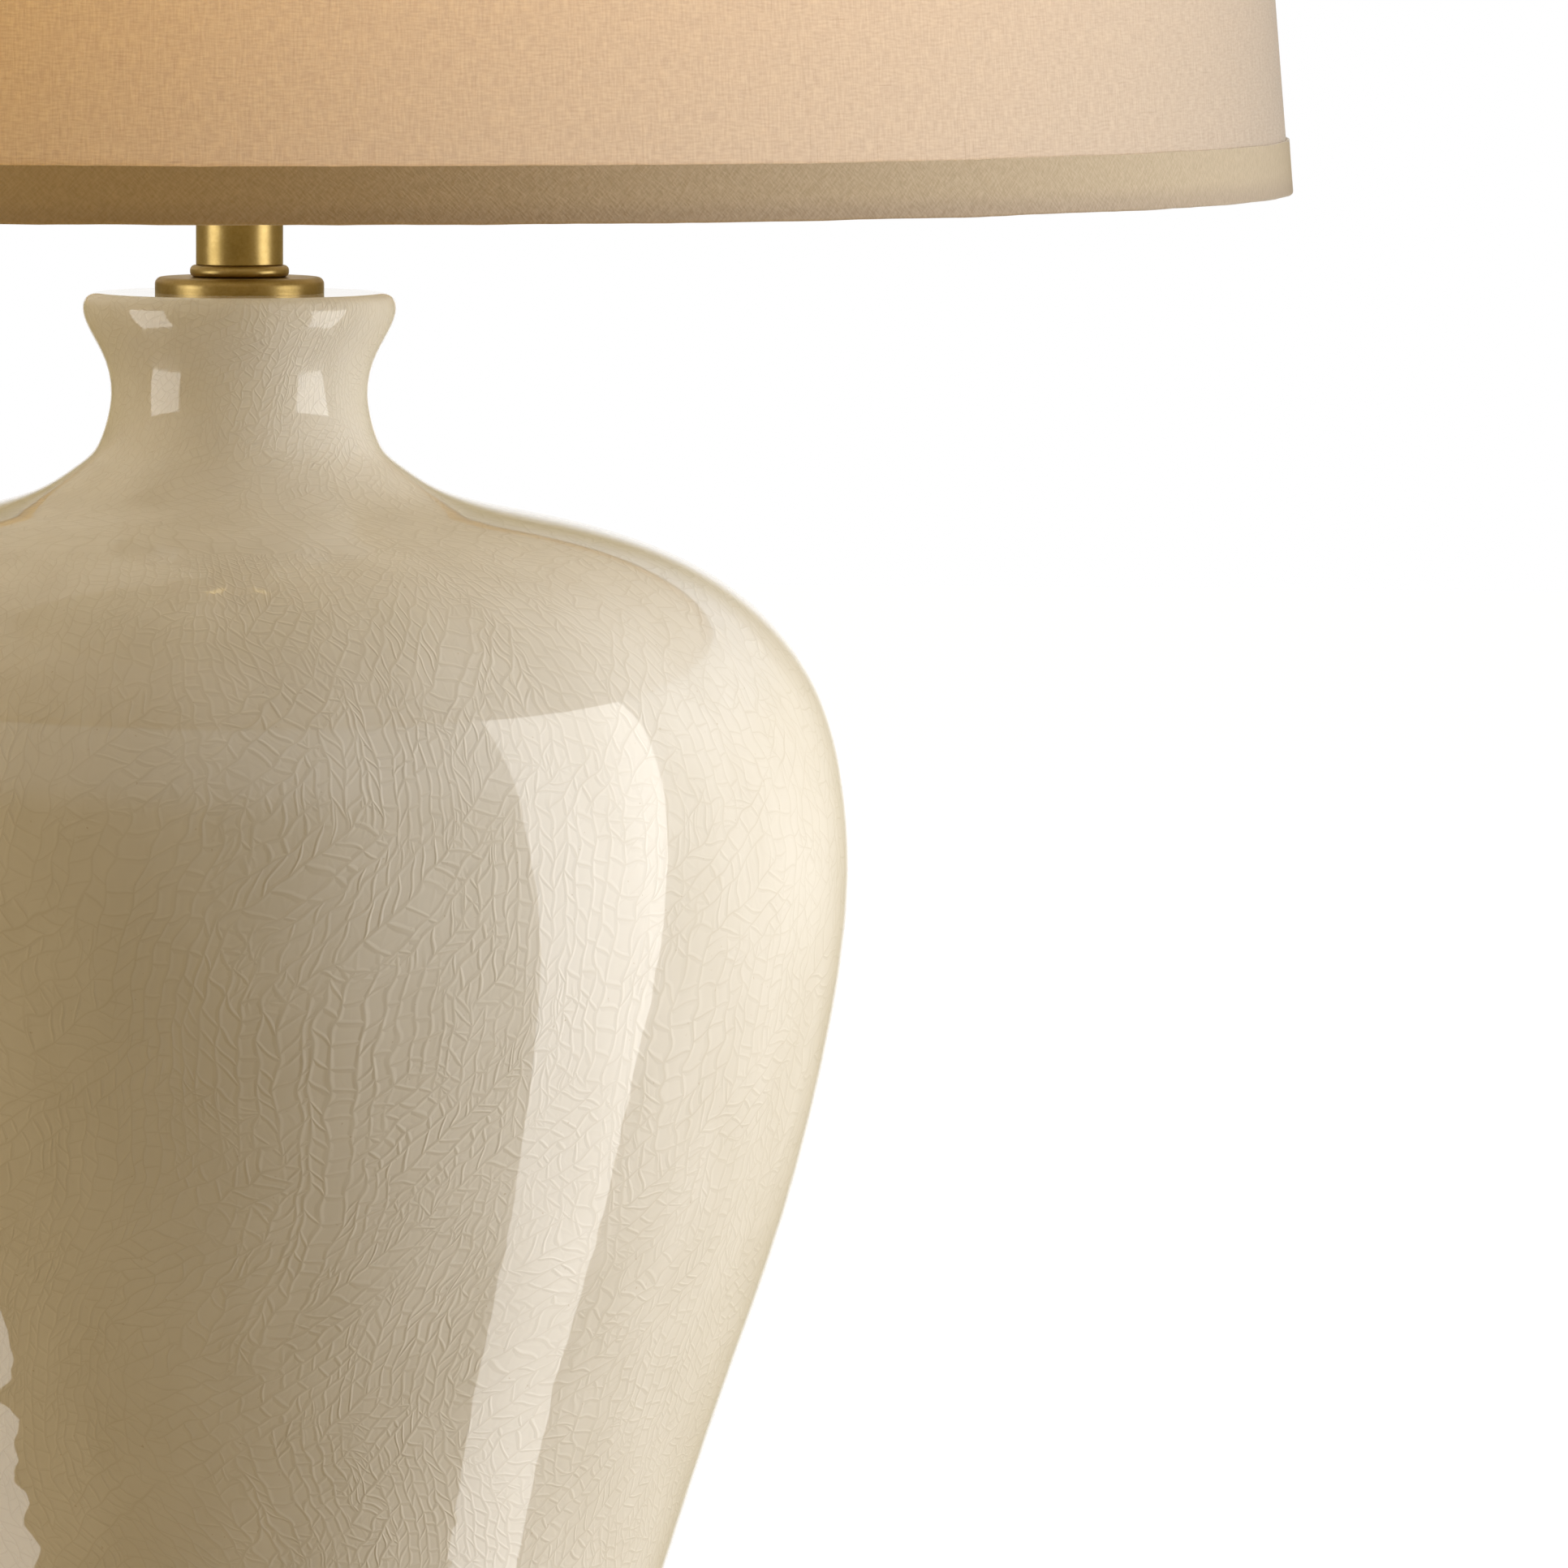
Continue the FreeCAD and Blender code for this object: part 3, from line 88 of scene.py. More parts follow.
# The room: ROOM is its light on dull surfaces, and the other colours show in polished ones
ROOM = rgb(0.21, 0.162, 0.092)
REFLECTED_ROOM = rgb(0.42, 0.33, 0.15)
CEILING = rgb(1.2, 1.17, 1.1)
CEILING_BEHIND = rgb(0.8, 0.8, 0.8)
BACKDROP = rgb(1.1, 1.1, 1.1)
ROOM_RADIUS = 5.5
ROOM_SEGMENTS = 64
ROOM_RINGS = 32

# Where the reflected room changes: up from the horizon, or round from the camera's side
CEILING_BEGINS = (math.radians(14), math.radians(28))
CEILING_ENDS = (math.radians(48), math.radians(60))
CEILING_DIMS = (math.radians(95), math.radians(125))
BACKDROP_BEGINS = (math.radians(161), math.radians(169))
BACKDROP_ENDS = (math.radians(8), math.radians(16))

# The floor: the colour that it throws back at the lamp, and how the camera sees it
FLOOR_RADIUS = 6.0
FLOOR_SIDES = 96
FLOOR_BOUNCE = rgb(0.62, 0.53, 0.38)
FLOOR_SEEN = rgb(0.80, 0.80, 0.80)
FLOOR_GLOW = 0.92

# Light inside the shade: a warm one that comes through it, and a paler one on its lining
SHADE_MIDDLE = Vector((0.0, 0.0, 0.625))
GLOW_TINT = (1.0, 0.65, 0.13)
GLOW_ALL_ROUND_WATTS = 0.17
GLOW_FORWARD_WATTS = 0.73
GLOW_RADIUS = 0.028
INNER_TINT = (1.0, 0.94, 0.82)
INNER_WATTS = 0.6

# How round the pieces are made
TURN_SIDES = 360
LONGEST_STEP = 2.5 * MM
CORNER = math.radians(24.0)
STRAIGHT_RATIO = 3.0
SHARP_EDGE = math.radians(32)

# What counts as on the section y = 0, as one place, as no length, and as the least radius to divide by
ON_SECTION = 1e-6
PLACE_DIGITS = 7
NO_LENGTH = 1e-9
LEAST_RADIUS = 5 * MM

# How far the thrown wall strays, and the heights near foot and lip where it is left true
THROWN_SWELL = 0.35 * MM
THROWN_WAVES = 1.6
THROWN_RISE = 9.0
THROWN_RIDGES = 0.06 * MM
RIDGES_IN_NOISE = (7.3, 1.1)
RIDGES_PER_METRE = 160.0
FOOT_TRUE_TO = 0.035
FOOT_FADE = 0.03
LIP_TRUE_FROM = 0.455
LIP_FADE = 0.02

# How far cloth and tape stray. WAVES are those in a radius round the axis, and those in a metre of height.
CLOTH_SWELL = 0.15 * MM
CLOTH_WAVES = (5, 12)
TAPE_WANDER = 0.22 * MM
TAPE_WANDER_WAVES = (11, 30)
TAPE_FRAY = 0.10 * MM
TAPE_FRAY_WAVES = (42, 60)
TAPE_SIDEWAYS = 0.4

# Where most of a soft noise's values lie
SPREAD = (0.3, 0.7)

# The glaze
GLAZE_BASE_ROUGHNESS = 0.15
GLAZE_ROUGHNESS = 0.012
GLAZE_IOR = 1.44
GLAZE_DEEP = rgb(0.82, 0.787, 0.718)
GLAZE_PALE = rgb(0.87, 0.842, 0.783)
GLAZE_CLOUD = 18 * MM
GLAZE_CLOUD_STRETCH = (1.0, 1.0, 0.4)
GLAZE_SWELL_SIZE = 16 * MM
GLAZE_SWELL = 0.04 * MM
SPECK = rgb(0.45, 0.34, 0.19)
SPECK_SIZE = 1.1 * MM
SPECK_SHARE = 0.35
CRACK = rgb(0.40, 0.33, 0.19)
CRACK_SHARE = 0.18

# Crazing. Cells are so far across and so long, and that is true where the vase has one of these radii.
BODY_RADIUS = 0.105
NECK_RADIUS = 0.050
NECK_STARTS = 0.413
UPRIGHT_CELLS = (3.0 * MM, 3.8 * MM)
LEANING_CELLS = (3.4 * MM, 3.8 * MM)
LEAN = math.radians(48)
STEEPEST_RUNG = 1.0
RUNG_SHUFFLE = 57.0
CRACK_REACH = 0.28 * MM
RIDGE_REACH = 0.75 * MM
RIDGE_HEIGHT = 0.085 * MM

# What bends the net of cracks, how far it pushes it round and up, and what makes the net uneven
DRIFT_SIZE = 110 * MM
DRIFT_PUSH = (0.075, 0.055, 0)
FLUTTER_SIZE = 5.0 * MM
FLUTTER_PUSH = (0.0026, 0.0026, 0)
PATCH_SIZE = 24 * MM
STRENGTH_SIZE = 12 * MM

# The shade's linen. Threads and slubs are so far apart, and so long.
LINEN_RADIUS = 0.216
WEFT = (0.45 * MM, 2.4 * MM)
WARP = (0.45 * MM, 3.6 * MM)
SLUB_WEFT = (0.7 * MM, 9 * MM)
SLUB_WARP = (0.7 * MM, 16 * MM)
SLUB_SHARE = 0.35
LINEN_DARK = rgb(0.412, 0.381, 0.345)
LINEN_PALE = rgb(0.464, 0.446, 0.414)
LINEN_THROUGH_DARK = rgb(0.62, 0.43, 0.23)
LINEN_THROUGH_PALE = rgb(0.90, 0.73, 0.52)
LINEN_THROUGH_SHARE = 0.30
LINEN_RELIEF = 0.10 * MM

# The trim's tape, the heights between which the painted shade on its lower band, by the fold, fades out, and
# those between which it turns from double to single
TAPE_RADIUS = 0.2286
TAPE_ONE_WAY = (0.5 * MM, 1.7 * MM)
TAPE_OTHER_WAY = (0.5 * MM, 2.6 * MM)
# Painted shade: the tape's lower band gets a darker, greyer copy of its colours
TAPE_SHADED_DARK = rgb(0.325, 0.272, 0.215)
TAPE_SHADED_PALE = rgb(0.440, 0.378, 0.308)
FLAT_DARK = rgb(0.405, 0.345, 0.250)
FLAT_PALE = rgb(0.535, 0.465, 0.358)
TAPE_THROUGH = rgb(0.62, 0.46, 0.14)
TAPE_THROUGH_SHARE = 0.15
TAPE_RELIEF = 0.16 * MM
TAPE_SHADE_FADES = (0.4885, 0.4935)
LOWER_TAPE_SINGLE = (0.4900, 0.4965)
UPPER_TAPE_SINGLE = (0.7920, 0.7855)

# Looks that share a recipe: two tones and a roughness. The painted wire is the one that isn't metallic.
TURNED_METALS = {
    "antique_brass": (rgb(0.37, 0.268, 0.105), rgb(0.28, 0.198, 0.070), 0.33),
    "socket_brass": (rgb(0.72, 0.53, 0.22), rgb(0.55, 0.38, 0.13), 0.24),
    "iron": (rgb(0.30, 0.29, 0.28), rgb(0.19, 0.17, 0.155), 0.5),
    "steel": (rgb(0.60, 0.60, 0.60), rgb(0.45, 0.45, 0.45), 0.28),
}
WIRE_METALS = {
    "harp_metal": (rgb(0.58, 0.43, 0.18), rgb(0.42, 0.29, 0.10), 0.28),
    "solder": (rgb(0.62, 0.62, 0.62), rgb(0.47, 0.47, 0.48), 0.35),
    "white_wire": (rgb(0.80, 0.79, 0.76), rgb(0.70, 0.68, 0.64), 0.4, 0.0),
}
MOULDINGS = {
    "brown_plastic": (rgb(0.055, 0.030, 0.018), rgb(0.040, 0.021, 0.012), 0.32),
    "rubber": (rgb(0.030, 0.029, 0.028), rgb(0.020, 0.019, 0.018), 0.6),
    "porcelain": (rgb(0.82, 0.80, 0.75), rgb(0.74, 0.71, 0.65), 0.15),
    "lead_insulation": (rgb(0.036, 0.034, 0.033), rgb(0.024, 0.022, 0.021), 0.42),
    "black_glass": (rgb(0.022, 0.020, 0.024), rgb(0.014, 0.013, 0.015), 0.1),
}

# Pressed fibre: two tones, the hairs' size and how deep they lie
FIBRES = {
    "felt": (rgb(0.105, 0.085, 0.060), rgb(0.050, 0.040, 0.028), 0.5 * MM, 0.25 * MM),
    "cardboard": (rgb(0.42, 0.34, 0.24), rgb(0.30, 0.235, 0.16), 0.8 * MM, 0.06 * MM),
}


class Graph:
    """Short calls that add nodes to one node tree and link them."""

    def __init__(self, tree):
        self.tree = tree

    def add(self, kind, inputs=None, output=0, **settings):
        """Adds a shader node, sets it up, feeds its inputs and gives one of its outputs."""
        node = self.tree.nodes.new("ShaderNode" + kind)
        for name, value in settings.items():
            setattr(node, name, value)
        for name, value in (inputs or {}).items():
            self.feed(node.inputs[name], value)
        return node.outputs[output]

    def feed(self, socket, value):
        """Links an output to the socket, or sets a plain value on it."""
        if isinstance(value, bpy.types.NodeSocket):
            self.tree.links.new(value, socket)
        else:
            socket.default_value = value

    def math(self, operation, *values):
        return self.add("Math", dict(enumerate(values)), operation=operation)

    def times(self, a, b):
        return self.math("MULTIPLY", a, b)

    def plus(self, a, b):
        return self.math("ADD", a, b)

    def mean(self, a, b, share=0.5):
        """Of two values, with this share of the first."""
        return self.plus(self.times(a, share), self.times(b, 1.0 - share))

    def place(self):
        """Where the point is, in metres, before anything turns or lifts the piece."""
        return self.add("TexCoord", output="Object")

    def split(self, vector):
        node = self.tree.nodes.new("ShaderNodeSeparateXYZ")
        self.feed(node.inputs[0], vector)
        return node.outputs[0], node.outputs[1], node.outputs[2]

    def join(self, x, y, z=0.0):
        return self.add("CombineXYZ", {0: x, 1: y, 2: z})

    def scaled(self, vector, factors):
        return self.add("VectorMath", {0: vector, 1: factors}, operation="MULTIPLY")

    def shifted(self, vector, offset):
        return self.add("VectorMath", {0: vector, 1: offset}, operation="ADD")

    def round_from_front(self, x, y):
        """The angle round the lamp's axis, from the camera's side."""
        return self.math("ARCTAN2", x, self.times(y, -1.0))

    def noise(self, vector, size, detail=2.0, roughness=0.5, distortion=0.0, output=0):
        """Soft noise from 0 to 1 with features about size across."""
        settings = {"Vector": vector, "Scale": 1.0 / size, "Detail": detail, "Roughness": roughness,
                    "Distortion": distortion}
        return self.add("TexNoise", settings, output=output)

    def waves(self, vector, size, detail):
        """Three soft noises in one vector, each from -0.5 to 0.5."""
        return self.shifted(self.noise(vector, size, detail=detail, output="Color"), (-0.5, -0.5, -0.5))

    def streaks(self, across, along, width, length, detail=2.0):
        """Noise drawn out into threads: width apart across, length long along."""
        vector = self.join(self.times(across, 1.0 / width), self.times(along, 1.0 / length))
        return self.noise(vector, 1.0, detail)

    def row(self, along, feature, output):
        """Cells of uneven length in a row, one unit long on average."""
        inputs = {"W": along, "Scale": 1.0, "Randomness": 1.0}
        return self.add("TexVoronoi", inputs, output=output, feature=feature, voronoi_dimensions="1D")

    def ramp(self, value, start, end, low=0.0, high=1.0):
        """Goes smoothly from low at start to high at end, and stays there."""
        inputs = {"Value": value, "From Min": start, "From Max": end, "To Min": low, "To Max": high}
        return self.add("MapRange", inputs, interpolation_type="SMOOTHSTEP")

    def blend(self, share, low, high):
        inputs = {0: share, 6: low, 7: high}
        return self.add("Mix", inputs, output=2, data_type="RGBA", blend_type="MIX")

    def bump(self, height, depth):
        return self.add("Bump", {"Height": height, "Distance": depth})


class Look(Graph):
    """A material in the making: its Principled shader and what feeds it."""

    def __init__(self, name, **sockets):
        self.material = bpy.data.materials.new(name)
        self.material.use_nodes = True
        super().__init__(self.material.node_tree)
        self.shader = self.tree.nodes["Principled BSDF"]
        for socket, value in sockets.items():
            self.set(socket.replace("_", " "), value)

    def set(self, socket, value):
        self.feed(self.shader.inputs[socket], value)

    def surface(self, shader):
        """Shows this shader in place of the Principled one."""
        self.tree.links.new(shader, self.tree.nodes["Material Output"].inputs["Surface"])

    def lets_through(self, share, colour):
        """Makes this share of the surface pass light on from behind."""
        through = self.add("BsdfTranslucent", {"Color": colour})
        self.surface(self.add("MixShader", {0: share, 1: self.shader.outputs[0], 2: through}))


# Looks


def ladder(look, across, up, spacing, reach):
    """How far away the nearest crack is.

    Some cracks run on along up, and short slanting ones join each to the next.
    """
    column = look.times(across, 1.0 / spacing)
    number = look.row(column, "F1", "Color")
    middle = look.row(column, "F1", "W")
    red, green, _ = look.split(number)
    aside = look.times(look.math("SUBTRACT", column, middle), spacing)
    slant = look.ramp(red, 0.0, 1.0, -STEEPEST_RUNG, STEEPEST_RUNG)
    slanting = look.plus(up, look.times(aside, slant))
    rung = look.plus(look.times(slanting, 1.0 / reach), look.times(green, RUNG_SHUFFLE))
    side = look.times(look.row(column, "DISTANCE_TO_EDGE", "Distance"), spacing)
    step = look.times(look.row(rung, "DISTANCE_TO_EDGE", "Distance"), reach)
    return look.math("MINIMUM", side, step)


def crazing(look, unrolled):
    """A net of fine cracks: most run up the wall in slow curves, and others lean across them in patches.

    It gives the cracks as thin lines, and the soft ridge that each of them lifts.
    """
    drift = look.waves(unrolled, DRIFT_SIZE, 1.0)
    flutter = look.waves(unrolled, FLUTTER_SIZE, 0.0)
    bent = look.shifted(unrolled, look.scaled(drift, DRIFT_PUSH))
    bent = look.shifted(bent, look.scaled(flutter, FLUTTER_PUSH))
    across, up, _ = look.split(bent)
    upright = ladder(look, across, up, *UPRIGHT_CELLS)
    leaning_across = look.plus(look.times(across, math.cos(LEAN)), look.times(up, math.sin(LEAN)))
    leaning_up = look.plus(look.times(across, -math.sin(LEAN)), look.times(up, math.cos(LEAN)))
    leaning = ladder(look, leaning_across, leaning_up, *LEANING_CELLS)
    patch = look.noise(unrolled, PATCH_SIZE, detail=2.0)
    leaning_share = look.ramp(patch, 0.44, 0.54)
    upright_share = look.ramp(patch, 0.48, 0.58, 1.0, 0.15)
    strength = look.ramp(look.noise(unrolled, STRENGTH_SIZE, detail=1.0), *SPREAD, 0.6, 1.0)

    def within(reach):
        """1 on a crack, and down to 0 at this distance from it."""
        upright_lines = look.times(look.ramp(upright, 0.0, reach, 1.0, 0.0), upright_share)
        leaning_lines = look.times(look.ramp(leaning, 0.0, reach, 1.0, 0.0), leaning_share)
        return look.times(look.math("MAXIMUM", upright_lines, leaning_lines), strength)

    return within(CRACK_REACH), within(RIDGE_REACH)


def unrolled_vase(look, place):
    """The vase's wall laid flat: round it, and up its outline."""
    x, y, z = look.split(place)
    angle = look.round_from_front(x, y)
    on_neck = look.math("GREATER_THAN", z, NECK_STARTS)
    scale = look.plus(look.times(on_neck, NECK_RADIUS - BODY_RADIUS), BODY_RADIUS)
    arc = look.add("Attribute", output="Fac", attribute_name="arc")
    return look.join(look.times(angle, scale), look.times(arc, scale))


def glaze():
    """A cream glaze, crazed all over, under a smooth and glassy coat.

    The base has no gloss of its own. Its roughness only tells in copies that leave the coat out.
    """
    look = Look("glaze", Roughness=GLAZE_BASE_ROUGHNESS, Specular_IOR_Level=0.0, Coat_Weight=1.0,
                Coat_Roughness=GLAZE_ROUGHNESS, Coat_IOR=GLAZE_IOR)
    place = look.place()
    lines, ridges = crazing(look, unrolled_vase(look, place))
    cloud = look.noise(look.scaled(place, GLAZE_CLOUD_STRETCH), GLAZE_CLOUD, detail=4.0)
    body = look.blend(look.ramp(cloud, *SPREAD), GLAZE_DEEP, GLAZE_PALE)
    speck = look.ramp(look.noise(place, SPECK_SIZE, detail=2.0), 0.72, 0.80, 0.0, SPECK_SHARE)
    body = look.blend(speck, body, SPECK)
    look.set("Base Color", look.blend(look.times(lines, CRACK_SHARE), body, CRACK))
    look.set("Normal", look.bump(ridges, RIDGE_HEIGHT))
    swell = look.noise(place, GLAZE_SWELL_SIZE, detail=2.0)
    look.set("Coat Normal", look.bump(swell, GLAZE_SWELL))
    return look.material


def turned_metal(name, light, dark, roughness):
    """Metal turned on a lathe: fine rings round the lamp's axis, and tarnish in soft blotches."""
    look = Look(name, Metallic=1.0)
    place = look.place()
    x, y, z = look.split(place)
    radius = look.math("SQRT", look.plus(look.times(x, x), look.times(y, y)))
    rings = look.noise(look.join(radius, 0.0, z), 0.35 * MM, detail=2.0)
    tarnish = look.noise(place, 9 * MM, detail=5.0, roughness=0.6)
    grain = look.noise(place, 0.6 * MM, detail=2.0)
    shade = look.mean(tarnish, grain, 0.75)
    look.set("Base Color", look.blend(look.ramp(shade, 0.38, 0.66), light, dark))
    wear = look.mean(rings, tarnish, 0.6)
    look.set("Roughness", look.ramp(wear, 0.25, 0.75, roughness * 0.85, roughness * 1.2))
    look.set("Normal", look.bump(rings, 0.012 * MM))
    return look.material


def wire_metal(name, light, dark, roughness, metallic=1.0):
    """Drawn wire or stamped sheet, bare or painted: a fine pitted grain and a few rubbed places."""
    look = Look(name, Metallic=metallic)
    place = look.place()
    grain = look.noise(place, 0.5 * MM, detail=3.0)
    rubbed = look.noise(place, 12 * MM, detail=4.0)
    look.set("Base Color", look.blend(look.ramp(rubbed, 0.35, 0.68), light, dark))
    look.set("Roughness", look.ramp(grain, 0.2, 0.8, roughness * 0.8, roughness * 1.25))
    look.set("Normal", look.bump(grain, 0.03 * MM))
    return look.material


def moulded(name, light, dark, roughness):
    """Moulded plastic, rubber or fired porcelain: nearly even, with a faint grain and cloudy patches."""
    look = Look(name)
    place = look.place()
    skin = look.noise(place, 0.8 * MM, detail=3.0)
    cloud = look.noise(place, 7 * MM, detail=3.0)
    look.set("Base Color", look.blend(look.ramp(cloud, *SPREAD), light, dark))
    look.set("Roughness", look.ramp(cloud, *SPREAD, roughness * 0.85, roughness * 1.15))
    look.set("Normal", look.bump(skin, 0.02 * MM))
    return look.material


def fibrous(name, light, dark, fibre, depth):
    """Pressed fibre such as felt or card: a matted surface of short hairs."""
    look = Look(name, Roughness=0.95, Sheen_Weight=0.25, Sheen_Roughness=0.5)
    place = look.place()
    hairs = look.noise(place, fibre, detail=4.0, roughness=0.7, distortion=1.5)
    patches = look.noise(place, 10 * MM, detail=2.0)
    mixed = look.mean(hairs, patches, 0.7)
    look.set("Base Color", look.blend(look.ramp(mixed, *SPREAD), dark, light))
    look.set("Normal", look.bump(hairs, depth))
    return look.material


def round_cloth_place(look, radius):
    """Places on a round cloth: along its edge and up its side. They part at the back, where its seam is."""
    x, y, z = look.split(look.place())
    return look.times(look.round_from_front(x, y), radius), z


def linen():
    """Woven linen lit from outside and, by the bulb, from inside."""
    look = Look("linen", Roughness=0.9, Specular_IOR_Level=0.15)
    along, up = round_cloth_place(look, LINEN_RADIUS)
    weft = look.streaks(up, along, *WEFT)
    warp = look.streaks(along, up, *WARP)
    slub_weft = look.ramp(look.streaks(up, along, *SLUB_WEFT, detail=1.0), 0.68, 0.80)
    slub_warp = look.ramp(look.streaks(along, up, *SLUB_WARP, detail=1.0), 0.66, 0.78)
    threads = look.mean(weft, warp)
    slubs = look.math("MAXIMUM", slub_weft, slub_warp)
    value = look.math("SUBTRACT", look.ramp(threads, 0.25, 0.75), look.times(slubs, SLUB_SHARE))
    look.set("Base Color", look.blend(value, LINEN_DARK, LINEN_PALE))
    look.set("Normal", look.bump(threads, LINEN_RELIEF))
    look.lets_through(LINEN_THROUGH_SHARE, look.blend(value, LINEN_THROUGH_DARK, LINEN_THROUGH_PALE))
    return look.material


def trim_tape():
    """Tape of the same cloth cut on the bias, darker and denser, folded over the ring wire."""
    look = Look("trim_tape", Roughness=0.85, Sheen_Weight=0.8, Sheen_Roughness=0.4)
    along, up = round_cloth_place(look, TAPE_RADIUS)
    rising = look.times(look.plus(along, up), math.sqrt(0.5))
    falling = look.times(look.math("SUBTRACT", along, up), math.sqrt(0.5))
    one_way = look.streaks(rising, falling, *TAPE_ONE_WAY)
    other_way = look.streaks(falling, rising, *TAPE_OTHER_WAY)
    threads = look.mean(one_way, other_way)
    value = look.ramp(threads, *SPREAD)
    # The lower band, by the fold, is painted darker and greyer as shade; above it the tape has its own
    # colours
    shaded_part = look.blend(value, TAPE_SHADED_DARK, TAPE_SHADED_PALE)
    flat_part = look.blend(value, FLAT_DARK, FLAT_PALE)
    look.set("Base Color", look.blend(look.ramp(up, *TAPE_SHADE_FADES), shaded_part, flat_part))
    look.set("Normal", look.bump(threads, TAPE_RELIEF))
    single = look.math("MAXIMUM", look.ramp(up, *LOWER_TAPE_SINGLE), look.ramp(up, *UPPER_TAPE_SINGLE))
    look.lets_through(look.ramp(single, 0.0, 1.0, 0.0, TAPE_THROUGH_SHARE), TAPE_THROUGH)
    return look.material


def backing():
    """The stiff white lining that the linen is laminated to."""
    look = Look("shade_backing", Roughness=0.6)
    place = look.place()
    skin = look.noise(place, 0.7 * MM, detail=3.0)
    cloud = look.noise(place, 25 * MM, detail=2.0)
    colour = look.blend(look.ramp(cloud, *SPREAD), rgb(0.825, 0.78, 0.695), rgb(0.85, 0.81, 0.725))
    look.set("Base Color", colour)
    look.set("Normal", look.bump(skin, 0.03 * MM))
    return look.material


def frosted_bulb():
    """A frosted bulb, unlit: white, with a soft gloss and a fine etched grain."""
    look = Look("bulb_glass", Roughness=0.3)
    frost = look.noise(look.place(), 0.4 * MM, detail=2.0)
    cloud = look.noise(look.place(), 14 * MM, detail=2.0)
    colour = look.blend(look.ramp(cloud, *SPREAD), rgb(0.86, 0.85, 0.81), rgb(0.92, 0.91, 0.88))
    look.set("Base Color", colour)
    look.set("Normal", look.bump(frost, 0.03 * MM))
    return look.material


def clear_glass():
    """The glass of the stem inside the bulb, a little wavy."""
    look = Look("clear_glass", Roughness=0.03, IOR=1.5, Base_Color=rgb(0.85, 0.88, 0.86))
    waves = look.noise(look.place(), 3 * MM, detail=2.0)
    look.set("Roughness", look.ramp(waves, *SPREAD, 0.02, 0.07))
    look.set("Normal", look.bump(waves, 0.1 * MM))
    return look.material


def filament():
    """Coiled wire: its coils are a fine pattern, since they are too small for shapes."""
    look = Look("filament", Roughness=0.4, Metallic=1.0)
    coils = look.noise(look.place(), 0.3 * MM, detail=2.0)
    look.set("Base Color", look.blend(coils, rgb(0.30, 0.28, 0.26), rgb(0.42, 0.40, 0.37)))
    return look.material


def make_looks():
    """A material for each of the record's slots."""
    looks = {"glaze": glaze()}
    recipes = ((turned_metal, TURNED_METALS), (wire_metal, WIRE_METALS), (moulded, MOULDINGS),
               (fibrous, FIBRES))
    for recipe, table in recipes:
        for name, values in table.items():
            looks[name] = recipe(name, *values)
    looks["linen"] = linen()
    looks["shade_backing"] = backing()
    looks["trim_tape"] = trim_tape()
    looks["bulb_glass"] = frosted_bulb()
    looks["clear_glass"] = clear_glass()
    looks["filament"] = filament()
    return looks


def slot_of(node):
    for part in frame["record"]["subparts"]:
        if part["node"] == node:
            return part["material_slot"]
    raise KeyError(node)


def dress(piece, material):
    piece.data.materials.clear()
    piece.data.materials.append(material)


# Round pieces, made from the line that a CAD part cuts from the half plane y = 0, x > 0


def outline_of(node):
    """That line as (radius, height) points in order. It is closed."""
    mesh = frame["nodes"][node].data
    places = [(round(v.co.x, PLACE_DIGITS), round(v.co.z, PLACE_DIGITS))
              if abs(v.co.y) < ON_SECTION and v.co.x > 0 else None for v in mesh.vertices]
    beside = {}
    for edge in mesh.edges:
        a, b = (places[i] for i in edge.vertices)
        if a is None or b is None or a == b:
            continue
        beside.setdefault(a, set()).add(b)
        beside.setdefault(b, set()).add(a)
    here = min(beside, key=lambda point: (point[1], point[0]))
    line, before = [here], None
    while True:
        after = [point for point in sorted(beside[here]) if point != before]
        before, here = here, after[0]
        if here == line[0]:
            return line
        line.append(here)


def turns_at(line, i):
    """How far the line turns at its point i."""
    before, here, after = (Vector(line[(i + k) % len(line)]) for k in (-1, 0, 1))
    return (here - before).angle(after - here)


def smoothed(line):
    """The line with more points on its long curved steps, and its corners kept."""
    points = [Vector(p) for p in line]
    sharp = [turns_at(line, i) > CORNER for i in range(len(line))]
    chords = [(points[(i + 1) % len(points)] - point).length for i, point in enumerate(points)]
    result = []
    for i, start in enumerate(points):
        j = (i + 1) % len(points)
        end = points[j]
        chord = chords[i]
        straight = chord > STRAIGHT_RATIO * min(chords[i - 1], chords[j])
        before = start if sharp[i] or straight else points[i - 1]
        after = end if sharp[j] or straight else points[(j + 1) % len(points)]
        steps = max(1, math.ceil(chord / LONGEST_STEP))
        slope_in = tangent(before, start, end) * chord
        slope_out = tangent(start, end, after) * chord
        for k in range(steps):
            t = k / steps
            result.append(start * (2 * t ** 3 - 3 * t ** 2 + 1) + slope_in * (t ** 3 - 2 * t ** 2 + t)
                          + end * (3 * t ** 2 - 2 * t ** 3) + slope_out * (t ** 3 - t ** 2))
    return result


def tangent(before, here, after):
    """The direction of a curve through three points, at the middle one, or of the chord where two are one."""
    back, ahead = here - before, after - here
    if min(back.length, ahead.length) < NO_LENGTH:
        return (after - before).normalized()
    mixed = back.normalized() * ahead.length + ahead.normalized() * back.length
    return mixed.normalized()


